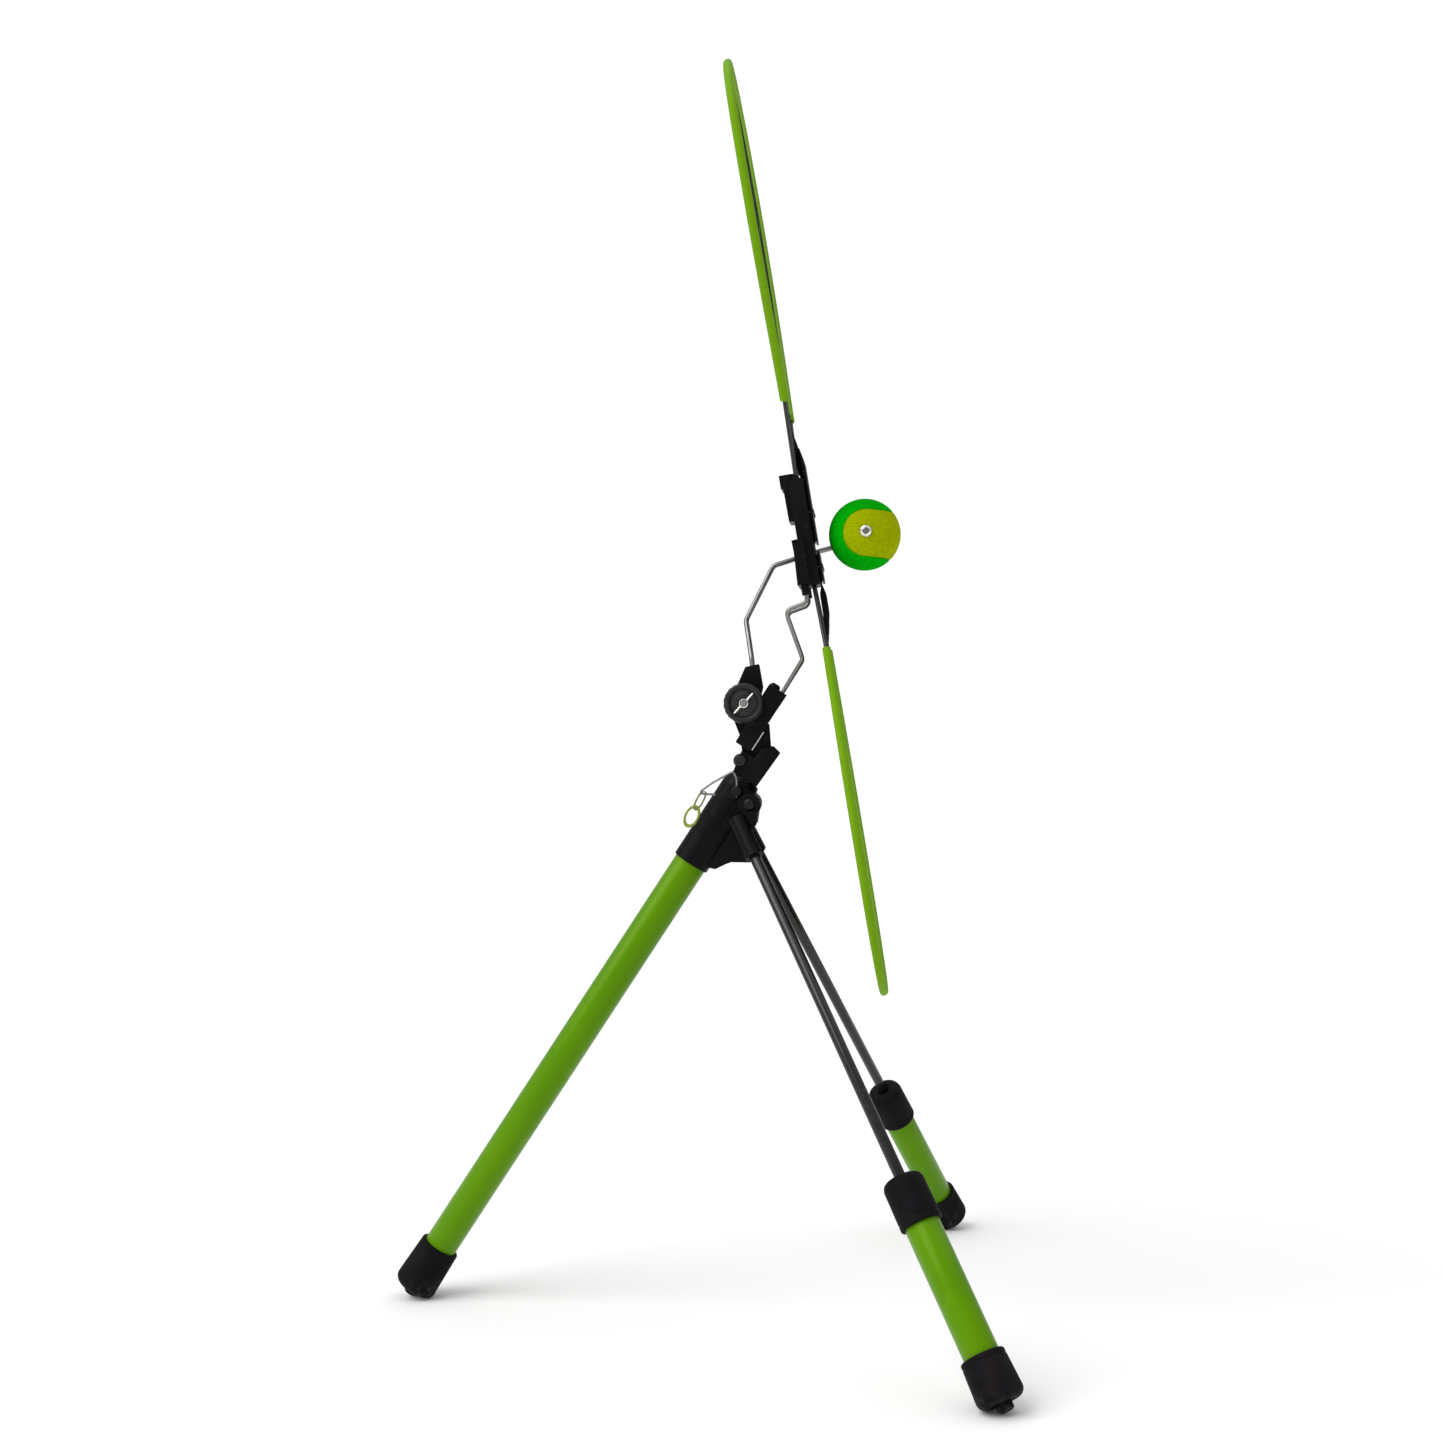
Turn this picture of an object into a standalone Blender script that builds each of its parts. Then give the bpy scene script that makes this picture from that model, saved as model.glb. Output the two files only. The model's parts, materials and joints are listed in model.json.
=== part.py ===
"""A tennis stroke trainer: a ball that spins on a bent wire axle, in front of a leaning two-loop screen.

Both stand on a folding tripod with one long tube leg and two rear legs that carry steel weights.
+X points from the long leg towards the rear legs, +Y to the left, +Z up. Lengths are in metres.
"""

import math

import bmesh
import bpy
from mathutils import Matrix, Vector
from mathutils.geometry import interpolate_bezier

MM = 0.001
GAP = 0.3 * MM

# The long leg: its axis runs from the ground up to the hub and on through the height post.
MAIN_FOOT = Vector((-266.7 * MM, 0, 0))
MAIN_SLOPE = math.radians(56.97)
MAIN_RADIUS = 15.5 * MM
TUBE_WALL = 1.5 * MM
MAIN_TOP = 540 * MM
COLLAR_FOOT = 486 * MM
HUB_TOP = 578 * MM

# The rear legs: each axis runs from a point inside the hub down to the ground.
REAR_APEX = Vector((27.5 * MM, 12 * MM, 480 * MM))
REAR_FOOT = Vector((264.1 * MM, 282.2 * MM, 0))
ROD_RADIUS = 5 * MM
WEIGHT_RADIUS = 15 * MM
WEIGHT_TUBE_WALL = 1.2 * MM
SOCKET_RADIUS = 8.5 * MM
SOCKET_START = 38 * MM
SOCKET_END = 80 * MM
LEG_PIN = Vector((53.4 * MM, 0, 462.4 * MM))
LEG_PIN_RADIUS = 2.5 * MM
LEG_EYE_RADIUS = 10.5 * MM
LUG_HALF_WIDTH = 17.7 * MM
EYE_WIDTH = 10 * MM

# Feet: every cap is a turned cup with a round lower rim and a rubber nub in its end.
CAP_RADIUS = 20 * MM
CAP_RIM = 7 * MM
NUB_RADIUS = 7 * MM
NUB_STEM = 4 * MM

# Height post, its lock pin and the head that carries both clamps.
POST_RADIUS = 10.5 * MM
POST_WALL = 2 * MM
POST_TRAVEL = 100 * MM
POST_END = 597 * MM
LOCK_PIN_ALONG = 566 * MM
LOCK_PIN_RADIUS = 3 * MM
CLAMP_AXIS = Vector((48 * MM, 0, 555.2 * MM))
CLAMP_BOLT_RADIUS = 3 * MM
LAYER = 5 * MM
LAYER_WIDTH = 9 * MM
KNOB_RADIUS = 18.5 * MM
PINCH = Vector((44.6 * MM, 0, 502.6 * MM))
EAR_HALF = 15.5 * MM

# The spring clip on the lock pin, and the ring and the link that hang from it.
CLIP_Y = -23.6 * MM
CLIP_RADIUS = 1 * MM
CLIP_CORNER = Vector((5.5 * MM, CLIP_Y, 472.4 * MM))
CLIP_BEND = 2.3 * MM
RING_RADIUS = 9.5 * MM
RING_WIRE = 0.9 * MM
RING_LEAN = math.radians(27)
RING_TURN = math.radians(75)
RING_TOP = Vector((12.2 * MM, CLIP_Y, 474.3 * MM))
LINK_PIVOT = RING_TOP - Vector((math.sin(RING_LEAN), 0, math.cos(RING_LEAN))) * 2 * RING_RADIUS
LINK_HALF_WIDTH = 6 * MM
LINK_HALF_HEIGHT = 9.5 * MM
LINK_WIRE = 1.1 * MM
LINK_SLACK = 0.8 * MM
LINK_TURN = math.radians(-15)

# Ball and its axle, which is bent from one wire.
BALL_CENTRE = Vector((159.2 * MM, 0, 712.2 * MM))
BALL_RADIUS = 33.3 * MM
BALL_CORE = 30 * MM
ARM_RADIUS = 2.5 * MM
ARM_BEND = 6 * MM
ARM_LAYER = LAYER + GAP + LAYER_WIDTH / 2
ARM_POINTS = [
    Vector((56.6 * MM, ARM_LAYER, 572.5 * MM)),
    Vector((54.2 * MM, ARM_LAYER, 598 * MM)),
    Vector((48.2 * MM, 30 * MM, 634.7 * MM)),
    Vector((73.8 * MM, 37 * MM, 686.8 * MM)),
    Vector((117 * MM, 40.5 * MM, 700.8 * MM)),
    Vector((BALL_CENTRE.x, 42.5 * MM, BALL_CENTRE.z)),
    Vector((BALL_CENTRE.x, -38 * MM, BALL_CENTRE.z)),
]

# Screen: a plane that leans back and is turned a little, with distances measured up it and out of it.
SCREEN_MIDDLE = Vector((107.7 * MM, 0, 698 * MM))
SCREEN_LEAN = math.radians(9.54)
SCREEN_YAW = math.radians(2.53)
SCREEN_TOP = 448 * MM
SCREEN_FOOT = -418.2 * MM
POLE_RADIUS = 2.75 * MM
SLEEVE_RADIUS = 4.3 * MM
NET_THICKNESS = 0.8 * MM
FORK_RADIUS = 2 * MM
FORK_HALF_WIDTH = 25 * MM
FORK_OUT = -8.6 * MM
FORK_CLAMP_Y = -5 * MM
FORK_CLAMP_HALF = 3.6 * MM
FORK_ACROSS = -15 * MM
CAP_ACROSS = -23.2 * MM
SLEEVE_STEP = 5

MAIN_DIR = Vector((math.cos(MAIN_SLOPE), 0, math.sin(MAIN_SLOPE)))
MAIN_SIDE = Vector((math.sin(MAIN_SLOPE), 0, -math.cos(MAIN_SLOPE)))
SCREEN_UP = Vector((-math.sin(SCREEN_LEAN), 0, math.cos(SCREEN_LEAN)))
SCREEN_OUT = Vector((math.cos(SCREEN_LEAN), 0, math.sin(SCREEN_LEAN)))
LEFT = Vector((0, 1, 0))
UP = Vector((0, 0, 1))
SCREEN_TURN = (
    Matrix.Translation(SCREEN_MIDDLE)
    @ Matrix.Rotation(-SCREEN_YAW, 4, SCREEN_UP)
    @ Matrix.Translation(-SCREEN_MIDDLE)
)

FINISHES = {
    "lime_paint": ((0.10, 0.29, 0.01), 0.35, 0.0),
    "lime_webbing": ((0.20, 0.45, 0.02), 0.7, 0.0),
    "black_plastic": ((0.012, 0.011, 0.013), 0.45, 0.0),
    "black_rubber": ((0.010, 0.009, 0.011), 0.75, 0.0),
    "black_paint": ((0.012, 0.011, 0.013), 0.3, 0.0),
    "black_mesh": ((0.010, 0.010, 0.012), 0.85, 0.0),
    "steel": ((0.32, 0.32, 0.31), 0.3, 1.0),
    "bright_metal": ((0.75, 0.74, 0.72), 0.2, 1.0),
    "aluminium": ((0.60, 0.61, 0.62), 0.35, 1.0),
    "green_felt": ((0.0, 0.40, 0.01), 0.9, 0.0),
    "ball_rubber": ((0.30, 0.08, 0.03), 0.8, 0.0),
    "white_plastic": ((0.72, 0.72, 0.66), 0.4, 0.0),
    "olive_plastic": ((0.30, 0.36, 0.08), 0.4, 0.0),
}


def clear_scene():
    for old in list(bpy.data.objects):
        bpy.data.objects.remove(old, do_unlink=True)


def material(finish):
    """The finish's material, made once and shared."""
    found = bpy.data.materials.get(finish)
    if found:
        return found
    colour, roughness, metallic = FINISHES[finish]
    made = bpy.data.materials.new(finish)
    made.use_nodes = True
    shader = made.node_tree.nodes["Principled BSDF"]
    shader.inputs["Base Color"].default_value = (*colour, 1)
    shader.inputs["Roughness"].default_value = roughness
    shader.inputs["Metallic"].default_value = metallic
    return made


def body(name, pivot=Vector((0, 0, 0))):
    """An empty on a moving group's joint axis."""
    empty = bpy.data.objects.new(name, None)
    empty.location = pivot
    bpy.context.collection.objects.link(empty)
    bpy.context.view_layer.update()
    return empty


def add(name, data, finish, group, place=Matrix()):
    """Puts a mesh or a curve in the scene, in its place, as a child of its group's empty."""
    obj = bpy.data.objects.new(name, data)
    data.materials.append(material(finish))
    bpy.context.collection.objects.link(obj)
    obj.parent = group
    obj.matrix_parent_inverse = group.matrix_world.inverted()
    obj.matrix_basis = place
    if obj.type == "MESH":
        data.shade_smooth()
        data.set_sharp_from_angle(angle=math.radians(35))
    return obj


def mesh_of(bm, name):
    bmesh.ops.recalc_face_normals(bm, faces=bm.faces)
    mesh = bpy.data.meshes.new(name)
    bm.to_mesh(mesh)
    bm.free()
    return mesh


def along(start, direction):
    """The place of a turned piece whose profile's zero is at start and which runs in a direction."""
    return Matrix.Translation(start) @ direction.to_track_quat("Z", "Y").to_matrix().to_4x4()


def turned(name, profile, place, finish, group, sides=24):
    """A turned solid. The profile lists (radius, distance); it is closed unless it starts on the axis."""
    bm = bmesh.new()
    points = [bm.verts.new((radius, 0, far)) for radius, far in profile]
    edges = [bm.edges.new(pair) for pair in zip(points, points[1:])]
    if profile[0][0] > 0:
        edges.append(bm.edges.new((points[-1], points[0])))
    bmesh.ops.spin(
        bm, geom=points + edges, axis=(0, 0, 1), cent=(0, 0, 0), angle=2 * math.pi, steps=sides,
        use_merge=True,
    )
    bmesh.ops.remove_doubles(bm, verts=bm.verts, dist=1e-6)
    return add(name, mesh_of(bm, name), finish, group, place)


def rod(name, radius, start, end, finish, group, sides=16):
    """A plain round bar from one point to another."""
    length = (end - start).length
    profile = [(0, 0), (radius, 0), (radius, length), (0, length)]
    return turned(name, profile, along(start, end - start), finish, group, sides)


def side_plate(name, outline, low, high, finish, group, bevel=0.0):
    """A plate cut to an outline of (x, z) points, from one y to another, with its edges eased by a bevel."""
    bm = bmesh.new()
    face = bm.faces.new([bm.verts.new((x, low, z)) for x, z in outline])
    extruded = bmesh.ops.extrude_face_region(bm, geom=[face])
    moved = [item for item in extruded["geom"] if isinstance(item, bmesh.types.BMVert)]
    bmesh.ops.translate(bm, verts=moved, vec=(0, high - low, 0))
    if bevel:
        bmesh.ops.recalc_face_normals(bm, faces=bm.faces)
        bmesh.ops.bevel(
            bm, geom=list(bm.edges), offset=bevel, segments=1, profile=0.5, affect="EDGES", clamp_overlap=True
        )
    return add(name, mesh_of(bm, name), finish, group)


def wire(name, points, radius, finish, group, resolution=2):
    """A bent wire: a curve through the points with a round section and closed ends."""
    curve = bpy.data.curves.new(name, "CURVE")
    curve.dimensions = "3D"
    curve.bevel_depth = radius
    curve.bevel_resolution = resolution
    curve.use_fill_caps = True
    spline = curve.splines.new("POLY")
    spline.points.add(len(points) - 1)
    for target, point in zip(spline.points, points):
        target.co = (*point, 1)
    return add(name, curve, finish, group)


def rounded(points, radius, steps=4):
    """The points with each inner corner replaced by an arc."""
    route = [points[0]]
    for before, corner, after in zip(points, points[1:], points[2:]):
        back, forth = (before - corner).normalized(), (after - corner).normalized()
        half = back.angle(forth) / 2
        reach = radius / math.tan(half)
        middle = corner + (back + forth).normalized() * (radius / math.sin(half))
        first, last = corner + back * reach - middle, corner + forth * reach - middle
        for step in range(steps + 1):
            route.append(middle + first.normalized().slerp(last.normalized(), step / steps) * radius)
    route.append(points[-1])
    return route


def helper(obj):
    """Hides a shape that only adds to or cuts another."""
    obj.hide_render = True
    obj.display_type = "WIRE"
    return obj


def combine(base, operation, *others):
    for other in others:
        change = base.modifiers.new(other.name, "BOOLEAN")
        change.operation = operation
        change.object = helper(other)


def hole(base, radius, start, end, group, sides=16):
    """Drills a round hole from one point to another."""
    number = len(base.modifiers)
    combine(base, "DIFFERENCE", rod(f"{base.name}_drill_{number}", radius, start, end, "steel", group, sides))


def arc(centre, radius, first, last, steps):
    """Points (x, z) on an arc; angles in degrees from +X towards +Z."""
    angles = [math.radians(first + (last - first) * step / steps) for step in range(steps + 1)]
    return [(centre[0] + radius * math.cos(a), centre[1] + radius * math.sin(a)) for a in angles]


def on_main(far, across=0.0, y=0.0):
    """A point at a distance up the long leg's axis and across it, towards the rear legs."""
    return MAIN_FOOT + MAIN_DIR * far + MAIN_SIDE * across + LEFT * y


def on_main_xz(far, across):
    point = on_main(far, across)
    return (point.x, point.z)


def on_screen(up, out=0.0, y=0.0):
    """A point at a distance up the screen, out of its plane and to the left."""
    return SCREEN_MIDDLE + SCREEN_UP * up + SCREEN_OUT * out + LEFT * y


def on_screen_xz(up, out):
    point = on_screen(up, out)
    return (point.x, point.z)


def foot_cap(name, foot, direction, length, tube_radius, group):
    """A rubber cup over a tube's end: it stands on its rounded rim and has a hole in its end for the nub."""
    tilt = math.acos(direction.z)
    rim_centre = ((CAP_RADIUS - CAP_RIM) * math.sin(tilt) + CAP_RIM) / math.cos(tilt)
    end = rim_centre - CAP_RIM
    floor = end + 8 * MM
    rim = [
        (CAP_RADIUS - CAP_RIM + CAP_RIM * math.sin(a), rim_centre - CAP_RIM * math.cos(a))
        for a in (math.pi / 6 * step for step in range(4))
    ]
    neck = CAP_RADIUS - 1.3 * MM
    profile = [(NUB_STEM + GAP, end), *rim, (neck, length - MM), (neck - MM, length)]
    profile += [(tube_radius + GAP, length), (tube_radius + GAP, floor), (NUB_STEM + GAP, floor)]
    turned(name, profile, along(foot, direction), "black_rubber", group, 22)
    nub_end = ((NUB_RADIUS - 1.5 * MM) * math.sin(tilt) + 1.9 * MM) / math.cos(tilt) - 1.5 * MM
    nub = [(0, nub_end), (NUB_RADIUS - 1.5 * MM, nub_end), (NUB_RADIUS, nub_end + 1.5 * MM)]
    nub += [(NUB_RADIUS, end - GAP), (NUB_STEM, end - GAP), (NUB_STEM, floor - GAP), (0, floor - GAP)]
    turned(name.replace("_cap", "_nub"), nub, along(foot, direction), "black_rubber", group, 16)
    return floor + GAP


def long_leg(group):
    """The lime tube, its foot, and the bush that guides the height post."""
    start = foot_cap("main_foot_cap", MAIN_FOOT, MAIN_DIR, 57.6 * MM, MAIN_RADIUS, group)
    inner = MAIN_RADIUS - TUBE_WALL
    profile = [(inner, start), (MAIN_RADIUS, start), (MAIN_RADIUS, MAIN_TOP), (inner, MAIN_TOP)]
    turned("main_tube", profile, along(MAIN_FOOT, MAIN_DIR), "lime_paint", group)
    low, high = MAIN_TOP - 7 * MM, MAIN_TOP - GAP
    ring = [(POST_RADIUS + GAP, low), (inner - GAP, low), (inner - GAP, high), (POST_RADIUS + GAP, high)]
    turned("post_bush", ring, along(MAIN_FOOT, MAIN_DIR), "white_plastic", group)


def hub(group):
    """The moulded hub: a collar on the long leg, a lug for the rear legs' pin and a rib below it."""
    collar = 17.4 * MM
    profile = [
        (0, COLLAR_FOOT), (collar, COLLAR_FOOT), (collar, HUB_TOP - 10 * MM), (collar - 2.5 * MM, HUB_TOP),
        (0, HUB_TOP),
    ]
    shell = turned("hub", profile, along(MAIN_FOOT, MAIN_DIR), "black_plastic", group, 32)
    pin = (LEG_PIN.x, LEG_PIN.z)
    inside = 4 * MM
    lug = [on_main_xz(530 * MM, inside), (53 * MM, 441 * MM), *arc(pin, 10.8 * MM, -30, 70, 6)]
    lug += [on_main_xz(573 * MM, 15.6 * MM), on_main_xz(573 * MM, inside)]
    rib = [on_main_xz(486.5 * MM, inside), (21.5 * MM, 401.8 * MM), (30 * MM, 406 * MM)]
    rib += [(36 * MM, 408.4 * MM)]
    rib += [(54 * MM, 408.2 * MM), (56.5 * MM, 424 * MM), (54 * MM, 444 * MM), on_main_xz(536 * MM, inside)]
    combine(
        shell, "UNION",
        side_plate("hub_lug", lug, -LUG_HALF_WIDTH, LUG_HALF_WIDTH, "black_plastic", group),
        side_plate("hub_rib", rib, -8 * MM, 8 * MM, "black_plastic", group),
    )
    seat = MAIN_TOP + GAP
    hole(shell, MAIN_RADIUS + GAP, on_main(COLLAR_FOOT - 10 * MM), on_main(seat), group, 32)
    hole(shell, POST_RADIUS + GAP, on_main(seat - MM), on_main(HUB_TOP + 5 * MM), group, 24)
    reach = LEFT * 30 * MM
    hole(shell, LEG_PIN_RADIUS + GAP, LEG_PIN - reach, LEG_PIN + reach, group)
    lock = on_main(LOCK_PIN_ALONG)
    hole(shell, LOCK_PIN_RADIUS + GAP, lock - reach, lock + reach, group)


def leg_pin(group):
    """The rivet through the lug and both rear legs' eyes."""
    half = LUG_HALF_WIDTH + GAP + EYE_WIDTH + GAP
    profile = [(0, -half - 2 * MM), (4.5 * MM, -half - 2 * MM), (5.5 * MM, -half - MM), (5.5 * MM, -half)]
    profile += [(LEG_PIN_RADIUS, -half), (LEG_PIN_RADIUS, half), (5.5 * MM, half), (5.5 * MM, half + MM)]
    profile += [(4.5 * MM, half + 2 * MM), (0, half + 2 * MM)]
    turned("leg_pin", profile, along(LEG_PIN, LEFT), "steel", group, 16)


def rear_leg(side_name, side, group):
    """One rear leg: socket with its eye, rod, and a steel weight in a lime tube between two rubber caps."""
    mirror = Vector((1, side, 1))
    apex, foot = REAR_APEX * mirror, REAR_FOOT * mirror
    down = (foot - apex).normalized()
    up = -down
    low = LUG_HALF_WIDTH + GAP
    eye_start, eye_end = LEG_PIN + LEFT * side * low, LEG_PIN + LEFT * side * (low + EYE_WIDTH)
    socket_start, socket_end = apex + down * SOCKET_START, apex + down * SOCKET_END
    sleeve = rod(
        f"leg_socket_{side_name}", SOCKET_RADIUS, socket_start, socket_end, "black_plastic", group, 20
    )
    eye = rod(f"leg_eye_{side_name}", LEG_EYE_RADIUS, eye_start, eye_end, "black_plastic", group, 24)
    bridge = [(47 * MM, 455 * MM), (42 * MM, 446 * MM), (50 * MM, 436 * MM), (60 * MM, 444 * MM)]
    bridge += [(62 * MM, 458 * MM)]
    far_side = side * (low + EYE_WIDTH + 4 * MM)
    web = side_plate(f"leg_web_{side_name}", bridge, *sorted((side * low, far_side)), "black_plastic", group)
    combine(sleeve, "UNION", eye, web)
    drill_start = eye_start - LEFT * side * 5 * MM
    drill_end = eye_end + LEFT * side * 8 * MM
    hole(sleeve, LEG_PIN_RADIUS + GAP, drill_start, drill_end, group)
    hole(sleeve, 6 * MM, eye_end, eye_end + LEFT * side * 12 * MM, group)
    bore_start = apex + down * (SOCKET_START + 8 * MM)
    hole(sleeve, ROD_RADIUS + GAP, bore_start, socket_end + down * 5 * MM, group)

    place = along(foot, up)
    rod_end = 150 * MM
    rod(
        f"leg_rod_{side_name}", ROD_RADIUS, bore_start + down * GAP, foot + up * rod_end, "black_paint", group
    )
    tube_start = foot_cap(f"weight_foot_cap_{side_name}", foot, up, 49.8 * MM, WEIGHT_RADIUS, group)
    tube_end, cap_start, cap_end = 190 * MM, 160.7 * MM, 202.6 * MM
    inner = WEIGHT_RADIUS - WEIGHT_TUBE_WALL
    shell = [(inner, tube_start), (WEIGHT_RADIUS, tube_start), (WEIGHT_RADIUS, tube_end), (inner, tube_end)]
    turned(f"weight_tube_{side_name}", shell, place, "lime_paint", group)
    steel = inner - GAP
    core = [(0, tube_start), (steel, tube_start), (steel, tube_end - GAP), (ROD_RADIUS + GAP, tube_end - GAP)]
    core += [(ROD_RADIUS + GAP, rod_end - GAP), (0, rod_end - GAP)]
    turned(f"weight_core_{side_name}", core, place, "steel", group)
    cap = [(WEIGHT_RADIUS + GAP, cap_start), (17.6 * MM, cap_start), (18.3 * MM, cap_start + MM)]
    cap += [(17.8 * MM, cap_end - 6 * MM), (16 * MM, cap_end - 2 * MM), (12.5 * MM, cap_end)]
    cap += [(ROD_RADIUS + GAP, cap_end), (ROD_RADIUS + GAP, tube_end + GAP)]
    cap += [(WEIGHT_RADIUS + GAP, tube_end + GAP)]
    turned(f"weight_top_cap_{side_name}", cap, place, "black_rubber", group, 20)


def height_post(group):
    """The sliding post with its long slot for the lock pin, and the guide plug on its lower end."""
    start, end = 425 * MM, POST_END
    inner = POST_RADIUS - POST_WALL
    profile = [(inner, start), (POST_RADIUS, start), (POST_RADIUS, end), (inner, end)]
    tube = turned("post_tube", profile, along(MAIN_FOOT, MAIN_DIR), "aluminium", group)
    half_slot = LOCK_PIN_RADIUS + GAP
    slot = [
        on_main_xz(LOCK_PIN_ALONG - POST_TRAVEL - half_slot, -half_slot),
        on_main_xz(LOCK_PIN_ALONG + half_slot, -half_slot),
        on_main_xz(LOCK_PIN_ALONG + half_slot, half_slot),
        on_main_xz(LOCK_PIN_ALONG - POST_TRAVEL - half_slot, half_slot),
    ]
    combine(tube, "DIFFERENCE", side_plate("post_slot", slot, -20 * MM, 20 * MM, "steel", group))
    plug_radius = MAIN_RADIUS - TUBE_WALL - GAP
    plug = [(0, start - 5 * MM), (plug_radius, start - 5 * MM), (plug_radius, start - GAP)]
    plug += [(inner - GAP, start - GAP), (inner - GAP, start + 10 * MM), (0, start + 10 * MM)]
    turned("post_plug", plug, along(MAIN_FOOT, MAIN_DIR), "white_plastic", group)


def post_head(group):
    """The black head: a block on the post, and a tongue between the two clamps."""
    bottom = HUB_TOP + GAP
    block = [on_main_xz(bottom, -13 * MM), on_main_xz(bottom, 12.6 * MM), on_main_xz(616.9 * MM, 14.1 * MM)]
    block += [on_main_xz(618.8 * MM, 5 * MM), on_main_xz(612 * MM, -2.5 * MM)]
    block += [on_main_xz(600 * MM, -2.5 * MM)]
    block += [on_main_xz(600 * MM, -17 * MM)]
    head = side_plate("post_head", block, -15 * MM, 15 * MM, "black_plastic", group, 0.8 * MM)
    axis = (CLAMP_AXIS.x, CLAMP_AXIS.z)
    tongue = [on_main_xz(596 * MM, -14 * MM), on_main_xz(596 * MM, 10 * MM), (73 * MM, 512 * MM)]
    tongue += [(71.2 * MM, 536 * MM), *arc(axis, 15 * MM, -40, 215, 10), (44 * MM, 525.1 * MM)]
    middle = side_plate("head_tongue", tongue, -LAYER, LAYER, "black_plastic", group)
    ear_half = LEFT * EAR_HALF
    ear = rod("bolt_ear", 6.4 * MM, PINCH - ear_half, PINCH + ear_half, "black_plastic", group, 20)
    combine(head, "UNION", middle, ear)
    reach = LEFT * 30 * MM
    hole(head, CLAMP_BOLT_RADIUS + GAP, CLAMP_AXIS - reach, CLAMP_AXIS + reach, group)
    hole(head, 2.3 * MM, PINCH - reach, PINCH + reach, group)
    hole(head, POST_RADIUS + GAP, on_main(570 * MM), on_main(POST_END + GAP), group, 24)


def pinch_bolt(group):
    """The small bolt and nut that pinch the head on the post."""
    face = EAR_HALF + GAP
    head = 5.4 * MM
    profile = [(0, -face - 4 * MM), (head - MM, -face - 4 * MM), (head, -face - 3 * MM), (head, -face)]
    profile += [(2 * MM, -face), (2 * MM, face + 5 * MM), (0, face + 5 * MM)]
    turned("pinch_bolt", profile, along(PINCH, LEFT), "black_paint", group, 16)
    nut = [(2.3 * MM, face), (4.6 * MM, face), (4.6 * MM, face + 4 * MM), (2.3 * MM, face + 4 * MM)]
    turned("pinch_nut", nut, along(PINCH, LEFT), "steel", group, 6)


def clamp_bolt(group):
    """The bolt through both clamps and the tongue, with its washer; the knob runs on its near end."""
    face = LAYER + GAP + LAYER_WIDTH + GAP
    washer = [(3.3 * MM, face), (9 * MM, face), (9 * MM, face + 1.2 * MM), (3.3 * MM, face + 1.2 * MM)]
    turned("clamp_washer", washer, along(CLAMP_AXIS, LEFT), "steel", group, 20)
    seat = face + 1.5 * MM
    profile = [(0, -30 * MM), (CLAMP_BOLT_RADIUS, -30 * MM), (CLAMP_BOLT_RADIUS, seat)]
    profile += [(5.8 * MM, seat), (5.8 * MM, seat + 4 * MM), (0, seat + 4 * MM)]
    turned("clamp_bolt", profile, along(CLAMP_AXIS, LEFT), "steel", group, 12)


def clamp_knob(group):
    """The round knob cup and the bright wing nut pressed into it."""
    face = LAYER + GAP + LAYER_WIDTH + GAP
    rim, floor = face + 15 * MM, face + 6 * MM
    bore = CLAMP_BOLT_RADIUS + GAP
    profile = [(bore, face), (10 * MM, face), (KNOB_RADIUS - 2 * MM, face + 4 * MM)]
    profile += [(KNOB_RADIUS, face + 7 * MM), (KNOB_RADIUS, rim - 2 * MM), (KNOB_RADIUS - 2 * MM, rim)]
    profile += [(13.5 * MM, rim), (13 * MM, floor), (bore, floor)]
    turned("knob_cup", profile, along(CLAMP_AXIS, -LEFT), "black_plastic", group, 24)
    boss_start, boss_end = floor + GAP, floor + 8 * MM
    boss = [(bore, boss_start), (5.5 * MM, boss_start), (4.2 * MM, boss_end), (bore, boss_end)]
    nut = turned("wing_nut", boss, along(CLAMP_AXIS, -LEFT), "bright_metal", group, 16)
    turn = math.radians(47)
    wing_dir = Vector((math.cos(turn), 0, math.sin(turn)))
    across = Vector((-math.sin(turn), 0, math.cos(turn)))
    for number, hand in enumerate((1, -1)):
        corners = [(4 * MM, -1.2 * MM), (4 * MM, 1.2 * MM), (12.6 * MM, 1.2 * MM), (12.6 * MM, -1.2 * MM)]
        outline = [CLAMP_AXIS + wing_dir * hand * far + across * wide for far, wide in corners]
        low, high = -boss_end - 2 * MM, -boss_start - MM
        flat = [(point.x, point.z) for point in outline]
        combine(nut, "UNION", side_plate(f"wing_{number}", flat, low, high, "bright_metal", group))


def ball_clamp(group):
    """The upper clamp, on the far side of the tongue, with the ball arm's socket in its top."""
    low, high = LAYER + GAP, LAYER + GAP + LAYER_WIDTH
    axis = (CLAMP_AXIS.x, CLAMP_AXIS.z)
    outline = [(48.3 * MM, 589.8 * MM), (44.8 * MM, 582 * MM), (42.5 * MM, 576.5 * MM)]
    outline += arc(axis, 14.5 * MM, 150, 370, 9)
    outline += [(65.2 * MM, 571 * MM), (61.4 * MM, 592.6 * MM)]
    clamp = side_plate("ball_arm_clamp", outline, low, high, "black_plastic", group, 0.6 * MM)
    reach = LEFT * 30 * MM
    hole(clamp, CLAMP_BOLT_RADIUS + GAP, CLAMP_AXIS - reach, CLAMP_AXIS + reach, group)
    bottom, top = ARM_POINTS[0], ARM_POINTS[1]
    down = (bottom - top).normalized()
    hole(clamp, ARM_RADIUS + GAP, bottom + down * GAP, top, group, 12)


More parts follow.
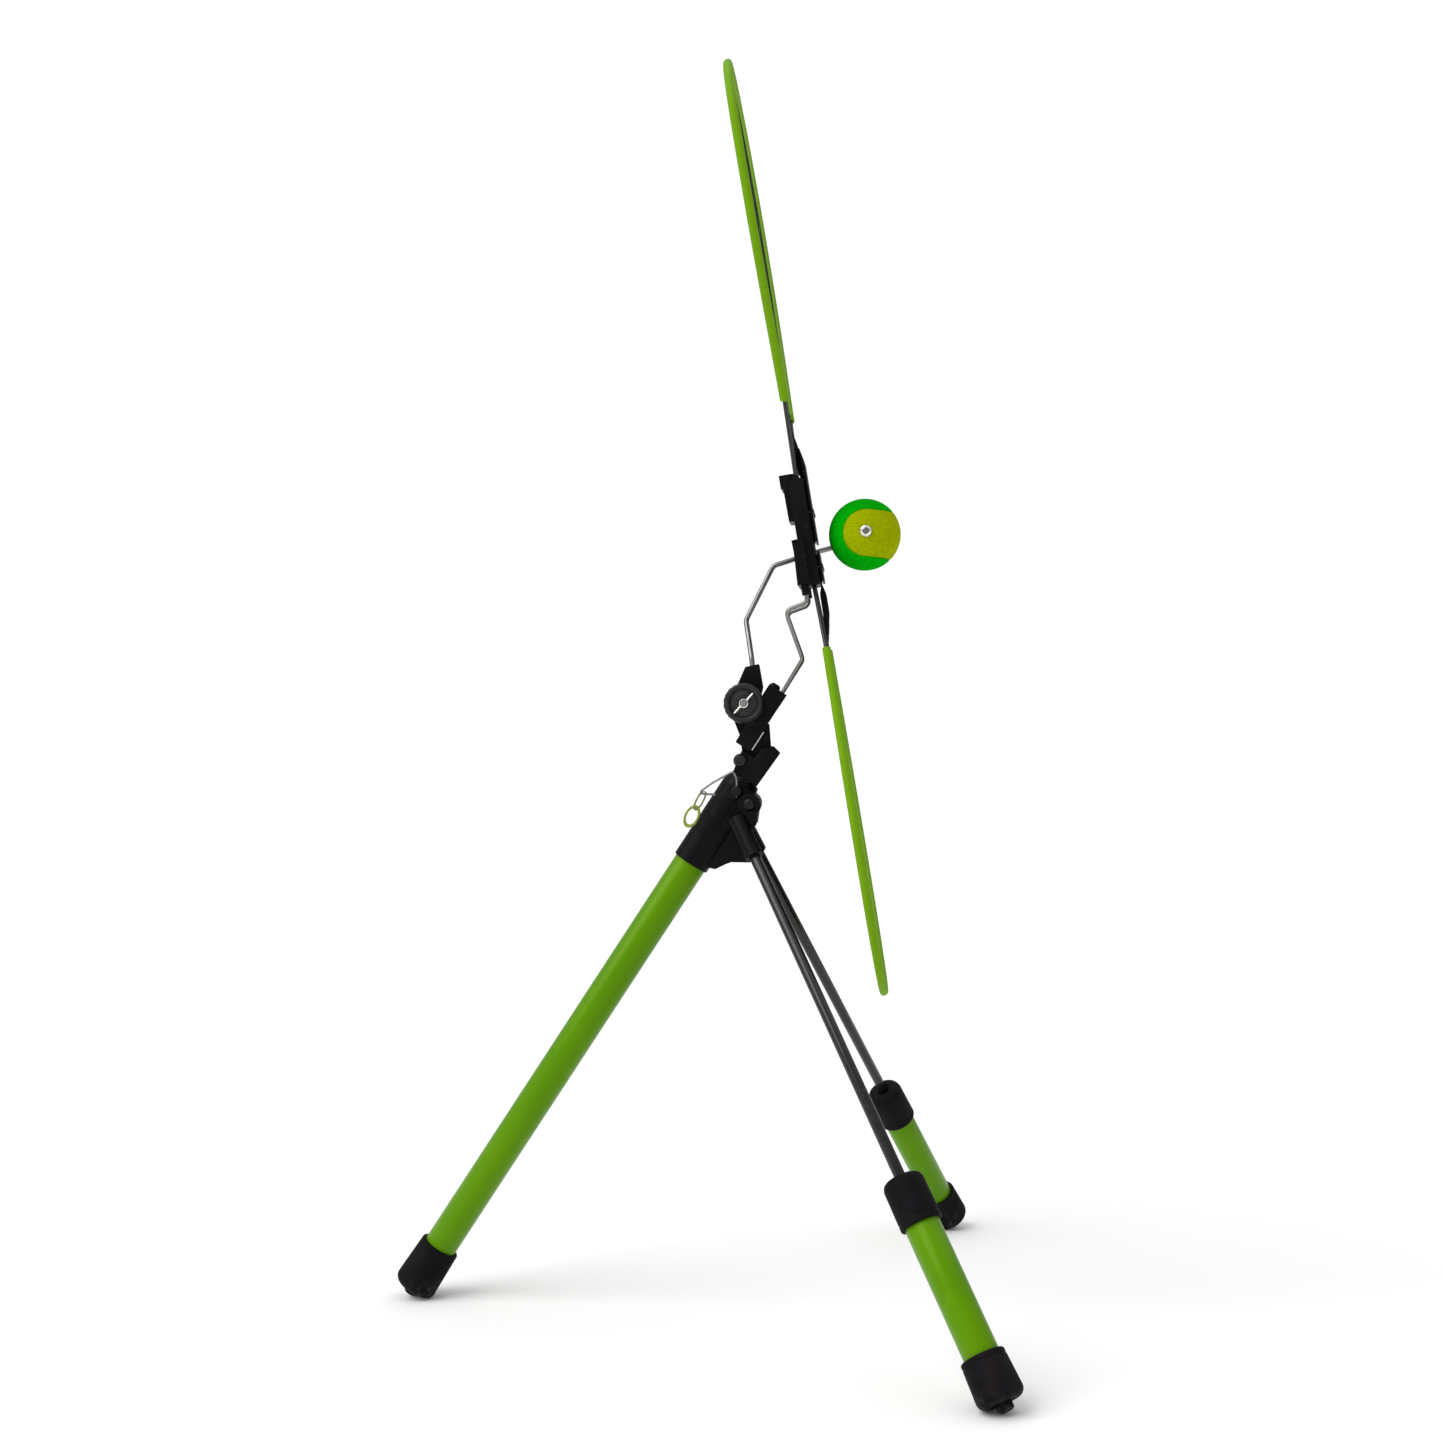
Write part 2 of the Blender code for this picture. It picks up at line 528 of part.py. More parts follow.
def ball_arm(group):
    """One steel wire: up from its clamp, past the screen's hub, round the ball's left side and through it."""
    wire("ball_arm", rounded(ARM_POINTS, ARM_BEND), ARM_RADIUS, "steel", group)
    place = along(BALL_CENTRE, LEFT)
    bore = ARM_RADIUS + GAP
    flange = BALL_RADIUS + 1.9 * MM
    rim = 5 * MM
    outside = flange + 1.1 * MM
    stop = [(bore, flange + GAP), (rim, flange + GAP), (rim, outside), (bore, outside)]
    turned("axle_washer", stop, place, "bright_metal", group, 16)
    nut = [(bore, -flange - 2 * MM), (3.6 * MM, -flange - 2 * MM), (4.9 * MM, -flange - MM)]
    nut += [(4.9 * MM, -flange - GAP), (bore, -flange - GAP)]
    turned("axle_push_nut", nut, place, "bright_metal", group, 16)


def ball(group):
    """A hollow rubber core with a felt cover, on a flanged bush."""
    place = along(BALL_CENTRE, LEFT)
    bore = 4.6 * MM

    def shell(name, outer, inner, finish):
        steps = 8
        start_out, start_in = math.asin(bore / outer), math.asin(bore / inner)
        sweep_out = [start_out + (math.pi - 2 * start_out) * step / steps for step in range(steps + 1)]
        sweep_in = [start_in + (math.pi - 2 * start_in) * step / steps for step in range(steps + 1)]
        profile = [(outer * math.sin(a), -outer * math.cos(a)) for a in sweep_out]
        profile += [(inner * math.sin(a), inner * math.cos(a)) for a in sweep_in]
        turned(name, profile, place, finish, group, 18)

    shell("ball_core", BALL_CORE, 26 * MM, "ball_rubber")
    shell("ball_felt", BALL_RADIUS, BALL_CORE + 2 * GAP, "green_felt")
    inside, tube, flange = ARM_RADIUS + 0.2 * MM, 4 * MM, BALL_RADIUS + GAP
    half = [(tube, flange), (5.4 * MM, flange), (5.4 * MM, flange + 1.4 * MM), (inside, flange + 1.4 * MM)]
    profile = [(radius, -far) for radius, far in reversed(half)] + half
    turned("ball_bush", profile, place, "white_plastic", group, 16)


def screen_clamp(group):
    """The lower clamp: a bar along the long leg's line, an eye on the clamp bolt, and the fork's block."""
    low, high = -LAYER - GAP - LAYER_WIDTH, -LAYER - GAP
    bar = [on_main_xz(603 * MM, -10.2 * MM), on_main_xz(665 * MM, -10.2 * MM), on_main_xz(665 * MM, -29 * MM)]
    bar += [on_main_xz(655 * MM, -29 * MM), on_main_xz(603 * MM, -26 * MM)]
    clamp = side_plate("screen_clamp", bar, low, high, "black_plastic", group)
    eye = rod(
        "clamp_eye", 14 * MM, CLAMP_AXIS + LEFT * low, CLAMP_AXIS + LEFT * high, "black_plastic", group, 24
    )
    block = [on_main_xz(653 * MM, -10.2 * MM), on_main_xz(665 * MM, -10.2 * MM)]
    block += [on_main_xz(665 * MM, -29 * MM)]
    block += [on_main_xz(655 * MM, -29 * MM)]
    socket = side_plate("fork_block", block, low, LAYER - GAP, "black_plastic", group)
    combine(clamp, "UNION", eye, socket)
    reach = LEFT * 30 * MM
    hole(clamp, CLAMP_BOLT_RADIUS + GAP, CLAMP_AXIS - reach, CLAMP_AXIS + reach, group)
    for side in (1, -1):
        y = FORK_CLAMP_Y + side * FORK_CLAMP_HALF
        socket_foot = on_main(654.7 * MM, FORK_ACROSS, y)
        socket_mouth = on_main(670 * MM, FORK_ACROSS, y)
        hole(clamp, FORK_RADIUS + GAP, socket_foot, socket_mouth, group, 12)
    cap_foot = on_main(660 * MM, CAP_ACROSS, FORK_CLAMP_Y)
    cap_mouth = on_main(670 * MM, CAP_ACROSS, FORK_CLAMP_Y)
    hole(clamp, 5.6 * MM, cap_foot, cap_mouth, group)
    plate = [on_main_xz(605 * MM, -9.9 * MM), on_main_xz(625 * MM, -9.9 * MM)]
    plate += [on_main_xz(625 * MM, -8.7 * MM), on_main_xz(605 * MM, -8.7 * MM)]
    side_plate("jaw_plate", plate, low + MM, high - MM, "bright_metal", group)
    dome = [(0, 660.3 * MM), (5.3 * MM, 660.3 * MM), (5.3 * MM, 667 * MM), (4 * MM, 669 * MM)]
    dome += [(0, 669.8 * MM)]
    base = MAIN_FOOT + MAIN_SIDE * CAP_ACROSS + LEFT * FORK_CLAMP_Y
    turned("retainer_cap", dome, along(base, MAIN_DIR), "black_plastic", group, 16)


def fork(group):
    """Two thin steel wires from the lower clamp, bent twice and spread to the sockets in the screen's hub."""
    for side, side_name in ((1, "left"), (-1, "right")):
        y = FORK_CLAMP_Y + side * FORK_CLAMP_HALF
        points = [
            on_main(655 * MM, FORK_ACROSS, y),
            on_main(670 * MM, FORK_ACROSS, y),
            Vector((102.1 * MM, side * 16 * MM, 596.4 * MM)),
            Vector((86.1 * MM, side * FORK_HALF_WIDTH, 640.5 * MM)),
            SCREEN_TURN @ on_screen(-49 * MM, FORK_OUT, side * FORK_HALF_WIDTH),
            SCREEN_TURN @ on_screen(-14 * MM, FORK_OUT, side * FORK_HALF_WIDTH),
        ]
        wire(f"fork_wire_{side_name}", rounded(points, 4.5 * MM, 3), FORK_RADIUS, "steel", group)


def half_loop(knots, steps):
    """One side of a screen loop as (y, up) points: smooth Bezier pieces through knots of (y, up, handles)."""
    points = []
    for (start, _, leave), (end, arrive, _) in zip(knots, knots[1:]):
        corners = [Vector((*pair, 0)) for pair in (start, leave, arrive, end)]
        piece = interpolate_bezier(*corners, steps)
        points += piece if not points else piece[1:]
    return [(point.x, point.y) for point in points]


def loop_knots(root, sleeve, widest, tip, crown):
    """The knots of a half loop: root in the hub, the sleeve's end, the widest point and the tip."""
    rise = widest[1] - sleeve[1]
    slant = ((widest[0] - sleeve[0]) / 2, rise * 0.375)
    bend = 0.36
    return [
        (root, None, (root[0] + 4 * MM, root[1] + (sleeve[1] - root[1]) / 3)),
        (
            sleeve, (sleeve[0] - slant[0] * bend, sleeve[1] - slant[1] * bend),
            (sleeve[0] + slant[0], sleeve[1] + slant[1]),
        ),
        (widest, (widest[0], widest[1] - rise / 2), (widest[0], widest[1] + (tip - widest[1]) * crown)),
        ((0, tip), (widest[0] * (crown + 0.1), tip), None),
    ]


UPPER_LOOP = half_loop(
    loop_knots(
        (12 * MM, 40 * MM), (61.7 * MM, 131 * MM), (174 * MM, 342 * MM), SCREEN_TOP - SLEEVE_RADIUS, 0.48
    ), 6,
)
LOWER_LOOP = half_loop(
    loop_knots(
        (12 * MM, -12 * MM), (35.4 * MM, -94 * MM), (96 * MM, -303 * MM), SCREEN_FOOT + SLEEVE_RADIUS, 0.54
    ), 6,
)


def pole_out(up):
    """How far in front of the screen's plane a pole lies: flat in its sleeve, drawn back towards the hub."""
    far = 131 * MM if up > 0 else 94 * MM
    root = 40 * MM if up > 0 else 12 * MM
    share = min(1.0, max(0.0, (abs(up) - root) / (far - root)))
    return MM * (3 * share - 1.5)


def net_out(up):
    """How far the net is pushed forward: by the hub's plate in the middle, and flat past the sleeve's ends."""
    flat, held = (135 * MM, 66 * MM) if up > 0 else (98 * MM, 46 * MM)
    share = min(1.0, max(0.0, (flat - abs(up)) / (flat - held)))
    return MM * (1.5 + 5 * (3 * share**2 - 2 * share**3))


def screen_loop(name, half, group):
    """A bent pole with both ends in the hub, a lime sleeve on its outer part, and the net inside it."""
    left = [on_screen(up, pole_out(up), y) for y, up in half]
    right = [on_screen(up, pole_out(up), -y) for y, up in half]
    wire(f"{name}_pole", left + right[-2::-1], POLE_RADIUS, "black_paint", group, 1)
    sleeve_line = left[SLEEVE_STEP:] + right[-2 : SLEEVE_STEP - 1 : -1]
    sleeve = wire(f"{name}_sleeve", sleeve_line, SLEEVE_RADIUS, "lime_webbing", group, 2)
    sleeve.data.use_fill_caps = False
    wall = sleeve.modifiers.new("wall", "SOLIDIFY")
    wall.thickness = SLEEVE_RADIUS - POLE_RADIUS - GAP
    wall.offset = -1
    direction = 1 if half[-1][1] > 0 else -1
    inset = SLEEVE_RADIUS + 0.5 * MM
    rows = [(13 * MM, direction * 5.5 * MM), (13 * MM, half[0][1] * (1 if direction > 0 else 2.4))]
    for index in range(2, len(half) - 1):
        (y0, up0), (y, up), (y1, up1) = half[index - 1], half[index], half[index + 1]
        across = Vector((up1 - up0, y0 - y1)).normalized() * -direction * inset
        if abs(up + across.y) > abs(rows[-1][1]) + 3 * MM:
            rows.append((max(13 * MM, y + across.x), up + across.y))
    rows.append((0, half[-1][1] - direction * inset))
    bm = bmesh.new()
    ladder = [
        (bm.verts.new(on_screen(up, net_out(up), y)), bm.verts.new(on_screen(up, net_out(up), -y)))
        for y, up in rows
    ]
    for lower, upper in zip(ladder, ladder[1:]):
        bm.faces.new((lower[0], lower[1], upper[1], upper[0]))
    bmesh.ops.remove_doubles(bm, verts=bm.verts, dist=1e-6)
    net = add(f"{name}_net", mesh_of(bm, f"{name}_net"), "black_mesh", group)
    thick = net.modifiers.new("thickness", "SOLIDIFY")
    thick.thickness = NET_THICKNESS
    thick.offset = 0


def screen_hub(group):
    """The black hub behind the screen: a stepped block, the poles' sockets, and the fork's two ferrules."""
    wide = 24 * MM
    body_outline = [(-34, 5.8), (-34, -8.5), (60, -8.5), (70, -2), (62, 5.8)]
    outline = [on_screen_xz(up * MM, out * MM) for up, out in body_outline]
    block = side_plate("screen_hub", outline, -wide, wide, "black_plastic", group)
    rear = [(26.5, -7), (27.5, -13.5), (57.5, -13.8), (58.7, -16), (70.5, -16), (70.5, -2.2), (60, -7)]
    rear_outline = [on_screen_xz(up * MM, out * MM) for up, out in rear]
    upper = side_plate("hub_upper_block", rear_outline, -18 * MM, 18 * MM, "black_plastic", group)
    low = [(-32.8, -3), (-32.8, -14.9), (-3.2, -13.4), (8.6, -13.7), (9.2, -3)]
    low_outline = [on_screen_xz(up * MM, out * MM) for up, out in low]
    lower = side_plate("hub_lower_block", low_outline, -31 * MM, 31 * MM, "black_plastic", group)
    combine(block, "UNION", upper, lower)
    for side in (1, -1):
        y = side * FORK_HALF_WIDTH
        ferrule = rod(
            f"ferrule_{side}", 3.7 * MM, on_screen(-42.5 * MM, FORK_OUT, y), on_screen(-30 * MM, FORK_OUT, y),
            "black_plastic", group, 12,
        )
        combine(block, "UNION", ferrule)
        prong_foot = on_screen(-45 * MM, FORK_OUT, y)
        prong_top = on_screen(-13.7 * MM, FORK_OUT, y)
        hole(block, FORK_RADIUS + GAP, prong_foot, prong_top, group, 12)
        for half in (UPPER_LOOP, LOWER_LOOP):
            ends = [on_screen(up, pole_out(up), side * y) for y, up in half[:4]]
            start, far = ends[0], ends[0] + (ends[1] - ends[0]).normalized() * 45 * MM
            back = (start - far).normalized() * GAP
            hole(block, POLE_RADIUS + 2.3 * MM, start + back, far, group, 12)


def net_plates(group):
    """The two front plates that hold the nets' inner ends on the hub, each with two screws."""
    wide, thick = 20.5 * MM, 2.2 * MM
    low = 7.3 * MM
    lip = [on_screen_xz(66 * MM, low), on_screen_xz(92 * MM, 5.7 * MM), on_screen_xz(92 * MM, 7 * MM)]
    lip += [on_screen_xz(80 * MM, low + thick)]
    for name, start, end, far_edge in (("upper", 5 * MM, 61 * MM, lip), ("lower", -32 * MM, -4 * MM, [])):
        outline = [on_screen_xz(start, low)]
        outline += far_edge or [on_screen_xz(end, low), on_screen_xz(end, low + thick)]
        outline += [on_screen_xz(start, low + thick)]
        plate = side_plate(f"{name}_net_plate", outline, -wide, wide, "black_plastic", group)
        middle = (start + end) / 2
        for side, side_name in ((1, "left"), (-1, "right")):
            base = on_screen(middle, 0, side * 17 * MM)
            place = along(base, SCREEN_OUT)
            top = low + thick + GAP
            profile = [(0, -0.5 * MM), (1.2 * MM, -0.5 * MM), (1.2 * MM, top), (2.8 * MM, top)]
            profile += [(2.8 * MM, top + 0.6 * MM), (2 * MM, top + 1.2 * MM), (0, top + 1.2 * MM)]
            turned(f"{name}_plate_screw_{side_name}", profile, place, "black_paint", group, 12)
            hub_block = bpy.data.objects["screen_hub"]
            for drilled in (plate, hub_block):
                hole(drilled, 1.6 * MM, base - SCREEN_OUT * MM, base + SCREEN_OUT * 12 * MM, group, 12)


def lock_pin(group):
    """The pin through the hub and the post's slot; its head has a cross hole for the wire clip."""
    centre = on_main(LOCK_PIN_ALONG)
    radius = LOCK_PIN_RADIUS
    profile = [(0, -27 * MM), (4 * MM, -27 * MM), (4.8 * MM, -26 * MM), (4.8 * MM, -20 * MM)]
    profile += [(radius, -20 * MM), (radius, 19 * MM), (1.8 * MM, 21 * MM), (0, 21 * MM)]
    pin = turned("lock_pin", profile, along(centre, LEFT), "steel", group, 16)
    cross = centre + LEFT * CLIP_Y
    hole(pin, 1.3 * MM, cross - UP * 8 * MM, cross + UP * 8 * MM, group, 12)


def pin_clip(group):
    """The spring wire on the pin's head: up over the hub's top, down its back to a corner, and in again."""
    pin = on_main(LOCK_PIN_ALONG)
    places = [
        (pin.x, pin.z - 5.5 * MM), (pin.x, pin.z + 12 * MM), (38.5 * MM, 493 * MM), (30.2 * MM, 488.3 * MM),
        (19.9 * MM, 482.6 * MM), (CLIP_CORNER.x, CLIP_CORNER.z), (22.5 * MM, 471.4 * MM),
    ]
    points = [Vector((x, CLIP_Y, z)) for x, z in places]
    wire("pin_clip", rounded(points, CLIP_BEND, 4), CLIP_RADIUS, "steel", group, 1)


def closed_link(name, half_width, half_height, thickness, place, finish, group):
    """A closed oval ring: a circle of round section, stretched to its width and height."""
    bm = bmesh.new()
    bmesh.ops.create_circle(bm, segments=6, radius=thickness)
    bmesh.ops.rotate(bm, verts=bm.verts, cent=(0, 0, 0), matrix=Matrix.Rotation(math.pi / 2, 3, "X"))
    bmesh.ops.translate(bm, verts=bm.verts, vec=(half_width, 0, 0))
    bmesh.ops.spin(
        bm, geom=bm.verts[:] + bm.edges[:], axis=(0, 0, 1), cent=(0, 0, 0), angle=2 * math.pi, steps=20,
        use_merge=True,
    )
    bmesh.ops.remove_doubles(bm, verts=bm.verts, dist=1e-6)
    bmesh.ops.scale(bm, verts=bm.verts, vec=(1, half_height / half_width, 1))
    return add(name, mesh_of(bm, name), finish, group, place)


def ring_place(below_top, turn):
    """A ring's place on the leaning line below the clip's bend, turned about that line."""
    lean = Matrix.Rotation(RING_LEAN, 4, "Y")
    hang = Matrix.Translation((0, 0, -below_top)) @ Matrix.Rotation(turn, 4, "Z")
    return Matrix.Translation(RING_TOP) @ lean @ hang @ Matrix.Rotation(math.pi / 2, 4, "X")


def pin_rings(ring_group, link_group):
    """The split ring on the clip and the small link that hangs from it."""
    ring = ring_place(RING_RADIUS, RING_TURN)
    closed_link("split_ring", RING_RADIUS, RING_RADIUS, RING_WIRE, ring, "steel", ring_group)
    link_top = 2 * RING_RADIUS - RING_WIRE - LINK_WIRE - LINK_SLACK
    link = ring_place(link_top + LINK_HALF_HEIGHT, LINK_TURN)
    closed_link("ring_link", LINK_HALF_WIDTH, LINK_HALF_HEIGHT, LINK_WIRE, link, "olive_plastic", link_group)


def build():
    clear_scene()
    stand = body("stand")
    long_leg(stand)
    hub(stand)
    leg_pin(stand)
    for side, side_name in ((1, "left"), (-1, "right")):
        rear_leg(side_name, side, body(f"rear_leg_{side_name}", LEG_PIN))
    post = body("post", on_main(HUB_TOP))
    height_post(post)
    post_head(post)
    pinch_bolt(post)
    clamp_bolt(post)
    clamp_knob(body("knob", CLAMP_AXIS))
    arm = body("ball_arm_unit", CLAMP_AXIS)
    ball_clamp(arm)
    ball_arm(arm)
    ball(body("ball_unit", BALL_CENTRE))
    fork_unit = body("fork_unit", CLAMP_AXIS)
    screen_clamp(fork_unit)
    fork(fork_unit)
    screen = body("screen", on_screen(0))
    screen_hub(screen)
    net_plates(screen)
    screen_loop("upper", UPPER_LOOP, screen)
    screen_loop("lower", LOWER_LOOP, screen)
    screen.matrix_world = SCREEN_TURN @ screen.matrix_world
    lock_pin(body("lock_pin_unit", on_main(LOCK_PIN_ALONG)))
    pin_clip(body("clip_unit", on_main(LOCK_PIN_ALONG)))
    pin_rings(body("ring_unit", RING_TOP), body("link_unit", LINK_PIVOT))


build()
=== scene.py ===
"""A tennis stroke trainer: a felt ball that spins on a bent wire, in front of a leaning two-loop net screen.

Both stand on a folding tripod with one long lime leg and two weighted rear legs. Lengths are in metres.
"""

import json
import math

import bmesh
import bpy
from mathutils import Matrix, Vector, noise
from mathutils.geometry import interpolate_bezier


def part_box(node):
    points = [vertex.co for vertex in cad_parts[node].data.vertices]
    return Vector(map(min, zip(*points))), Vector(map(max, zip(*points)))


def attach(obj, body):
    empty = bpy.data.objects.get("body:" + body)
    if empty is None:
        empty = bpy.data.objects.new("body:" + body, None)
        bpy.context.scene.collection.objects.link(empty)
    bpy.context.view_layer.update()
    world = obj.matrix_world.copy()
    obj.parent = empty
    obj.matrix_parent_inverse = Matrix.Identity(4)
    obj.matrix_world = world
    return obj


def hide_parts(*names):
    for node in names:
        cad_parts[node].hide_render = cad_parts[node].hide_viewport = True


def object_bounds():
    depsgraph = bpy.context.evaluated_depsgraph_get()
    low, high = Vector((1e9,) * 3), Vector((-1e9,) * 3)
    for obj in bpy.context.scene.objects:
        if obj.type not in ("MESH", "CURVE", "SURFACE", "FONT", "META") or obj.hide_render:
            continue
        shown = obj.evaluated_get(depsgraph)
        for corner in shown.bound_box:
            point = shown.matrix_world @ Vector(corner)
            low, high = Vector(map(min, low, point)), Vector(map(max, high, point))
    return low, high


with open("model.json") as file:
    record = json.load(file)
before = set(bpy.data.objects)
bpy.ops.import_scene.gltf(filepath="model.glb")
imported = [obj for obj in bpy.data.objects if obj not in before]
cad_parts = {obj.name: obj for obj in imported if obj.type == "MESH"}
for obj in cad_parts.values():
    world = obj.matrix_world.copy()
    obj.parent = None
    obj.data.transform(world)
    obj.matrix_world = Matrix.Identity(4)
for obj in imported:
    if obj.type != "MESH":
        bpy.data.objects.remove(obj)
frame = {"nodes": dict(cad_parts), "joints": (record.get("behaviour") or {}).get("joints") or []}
cad_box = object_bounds()


# Studio: a pale floor, a white surround, a large soft lamp high on the left and a weaker one
# on the right. The camera stands level with the middle of the stand and looks along +Y.
MM = 0.001
scene = bpy.context.scene
scene.view_settings.view_transform = "Standard"
camera_data = bpy.data.cameras.new("camera")
camera_data.lens = 46.55
camera_data.sensor_width = 36
camera = bpy.data.objects.new("camera", camera_data)
scene.collection.objects.link(camera)
forward = Vector((-0.04698, 0.99888, 0.00538)).normalized()
rightward = forward.cross(Vector((-0.00196, -0.00537, 0.99998))).normalized()
upward = rightward.cross(forward)
camera_turn = Matrix((rightward, upward, -forward)).transposed().to_4x4()
camera.matrix_world = Matrix.Translation((0.10916, -1.73658, 0.52843)) @ camera_turn
scene.camera = camera

floor_mesh = bpy.data.meshes.new("floor")
floor_bm = bmesh.new()
bmesh.ops.create_grid(floor_bm, x_segments=1, y_segments=1, size=12)
bmesh.ops.translate(floor_bm, verts=floor_bm.verts, vec=(0, 0, cad_box[0].z - 0.2 * MM))
floor_bm.to_mesh(floor_mesh)
floor_bm.free()
floor = bpy.data.objects.new("floor", floor_mesh)
scene.collection.objects.link(floor)
floor_finish = bpy.data.materials.new("floor")
floor_finish.use_nodes = True
floor_shader = floor_finish.node_tree.nodes["Principled BSDF"]
floor_shader.inputs["Base Color"].default_value = (0.93, 0.93, 0.93, 1)
floor_shader.inputs["Roughness"].default_value = 0.9
floor_shader.inputs["Specular IOR Level"].default_value = 0.1
floor_mesh.materials.append(floor_finish)

surround = bpy.data.worlds.new("surround")
surround.use_nodes = True
surround_tree = surround.node_tree
backdrop = surround_tree.nodes["Background"]
backdrop.inputs["Color"].default_value = (1, 1, 1, 1)
backdrop.inputs["Strength"].default_value = 1.05
soft_light = surround_tree.nodes.new("ShaderNodeBackground")
soft_light.inputs["Color"].default_value = (1, 1, 1, 1)
soft_light.inputs["Strength"].default_value = 0.5
ray_kind = surround_tree.nodes.new("ShaderNodeLightPath")
either = surround_tree.nodes.new("ShaderNodeMixShader")
surround_tree.links.new(ray_kind.outputs["Is Camera Ray"], either.inputs[0])
surround_tree.links.new(soft_light.outputs[0], either.inputs[1])
surround_tree.links.new(backdrop.outputs[0], either.inputs[2])
surround_tree.links.new(either.outputs[0], surround_tree.nodes["World Output"].inputs["Surface"])
scene.world = surround
for lamp_name, lamp_from, power, spread in (
    ("key_lamp", (-0.62, -0.42, 0.75), 1.9, 50),
    ("top_lamp", (0.1, 0.25, 1), 0.75, 90),
):
    lamp_data = bpy.data.lights.new(lamp_name, "SUN")
    lamp_data.energy = power
    lamp_data.angle = math.radians(spread)
    lamp = bpy.data.objects.new(lamp_name, lamp_data)
    lamp.rotation_euler = Vector(lamp_from).to_track_quat("Z", "Y").to_euler()
    scene.collection.objects.link(lamp)


# Long leg: one steel tube, rolled and welded, in gloss lime powder coat, cut square at both ends.
# It is turned here; its upper end sits in the hub and its lower end in a rubber foot.
class Signal:
    """A socket's output in a material, on which arithmetic adds Math nodes."""

    def __init__(self, tree, socket):
        self.tree = tree
        self.socket = socket

    def node(self, kind, settings, inputs, output=0):
        """Adds a node: its settings are made first, then each input is set or linked."""
        made = self.tree.nodes.new(kind)
        for name, value in settings.items():
            setattr(made, name, value)
        for name, value in inputs.items():
            if isinstance(value, Signal):
                self.tree.links.new(value.socket, made.inputs[name])
            else:
                made.inputs[name].default_value = value
        return Signal(self.tree, made.outputs[output])

    def math(self, operation, *others):
        return self.node("ShaderNodeMath", {"operation": operation}, dict(enumerate((self, *others))))

    def __add__(self, other):
        return self.math("ADD", other)

    def __sub__(self, other):
        return self.math("SUBTRACT", other)

    def __rsub__(self, other):
        return self.node("ShaderNodeMath", {"operation": "SUBTRACT"}, {0: other, 1: self})

    def __mul__(self, other):
        return self.math("MULTIPLY", other)

    def __truediv__(self, other):
        return self.math("DIVIDE", other)

    def __gt__(self, other):
        return self.math("GREATER_THAN", other)

    __radd__ = __add__
    __rmul__ = __mul__

    def vector(self, operation, *others, output=0):
        inputs = dict(enumerate((self, *others)))
        return self.node("ShaderNodeVectorMath", {"operation": operation}, inputs, output)

    def along(self, origin, direction):
        """How far a point lies from an origin in a direction."""
        return self.vector("SUBTRACT", tuple(origin)).vector("DOT_PRODUCT", tuple(direction), output=1)

    def noise(self, scale, detail=3.0, squeeze=None):
        """Clouds of about 1/scale metres; a squeeze under 1 along an axis draws them out along it."""
        place = self if squeeze is None else self.vector("MULTIPLY", squeeze)
        inputs = {"Vector": place, "Scale": scale, "Detail": detail, "Roughness": 0.55}
        return self.node("ShaderNodeTexNoise", {}, inputs)

    def between(self, low, high):
        """0 below low, 1 above high, and smooth in between; high may be the lower one."""
        inputs = {"Value": self, "From Min": low, "From Max": high}
        return self.node("ShaderNodeMapRange", {"interpolation_type": "SMOOTHSTEP"}, inputs)

    def mix(self, first, second):
        """One colour where the signal is 0 and another where it is 1."""
        inputs = {"Factor": self}
        for slot, colour in ((6, first), (7, second)):
            inputs[slot] = colour if isinstance(colour, Signal) else (*colour, 1)
        return self.node("ShaderNodeMix", {"data_type": "RGBA"}, inputs, 2)


class Finish:
    """A material being made: its Principled shader and the object's own coordinates."""

    def __init__(self, name, **constants):
        self.material = bpy.data.materials.new(name)
        self.material.use_nodes = True
        tree = self.material.node_tree
        self.shader = tree.nodes["Principled BSDF"]
        for label, value in constants.items():
            self.shader.inputs[label.replace("_", " ")].default_value = value
        self.place = Signal(tree, tree.nodes.new("ShaderNodeTexCoord").outputs["Object"])
        self.uv = Signal(tree, self.place.socket.node.outputs["UV"])

    def feed(self, **signals):
        for label, signal in signals.items():
            signal.tree.links.new(signal.socket, self.shader.inputs[label.replace("_", " ")])
        return self

    def bump(self, height, strength, distance):
        """A relief of a height signal, whose depth is a distance in metres."""
        inputs = {"Strength": strength, "Distance": distance, "Height": height}
        return self.feed(Normal=height.node("ShaderNodeBump", {}, inputs))


def lime_paint(name, shade):
    """Gloss lime powder coat with faint orange peel, hazy patches and a few dull rubs."""
    gleam = (0.6, 0.85, 0.12, 1)
    finish = Finish(name, Specular_IOR_Level=0.4, Specular_Tint=gleam, Coat_Roughness=0.12, Coat_IOR=1.3)
    patches = finish.place.noise(9, 4)
    rubs = finish.place.noise(70, 5, (1, 1, 0.25)).between(0.62, 0.7)
    specks = finish.place.noise(2400, 1)
    light = (shade[0] * 1.35, shade[1] * 1.12, shade[2])
    colour = (patches * 0.7 + specks * 0.3).between(0.35, 0.65).mix(shade, light)
    colour = (rubs * 0.2).mix(colour, (0.14, 0.31, 0.01))
    roughness = patches * 0.12 + 0.3 + rubs * 0.16
    finish.feed(Base_Color=colour, Roughness=roughness, Coat_Weight=0.1 - rubs * 0.08)
    finish.bump(finish.place.noise(520, 2), 0.12, 0.2 * MM)
    return finish.material


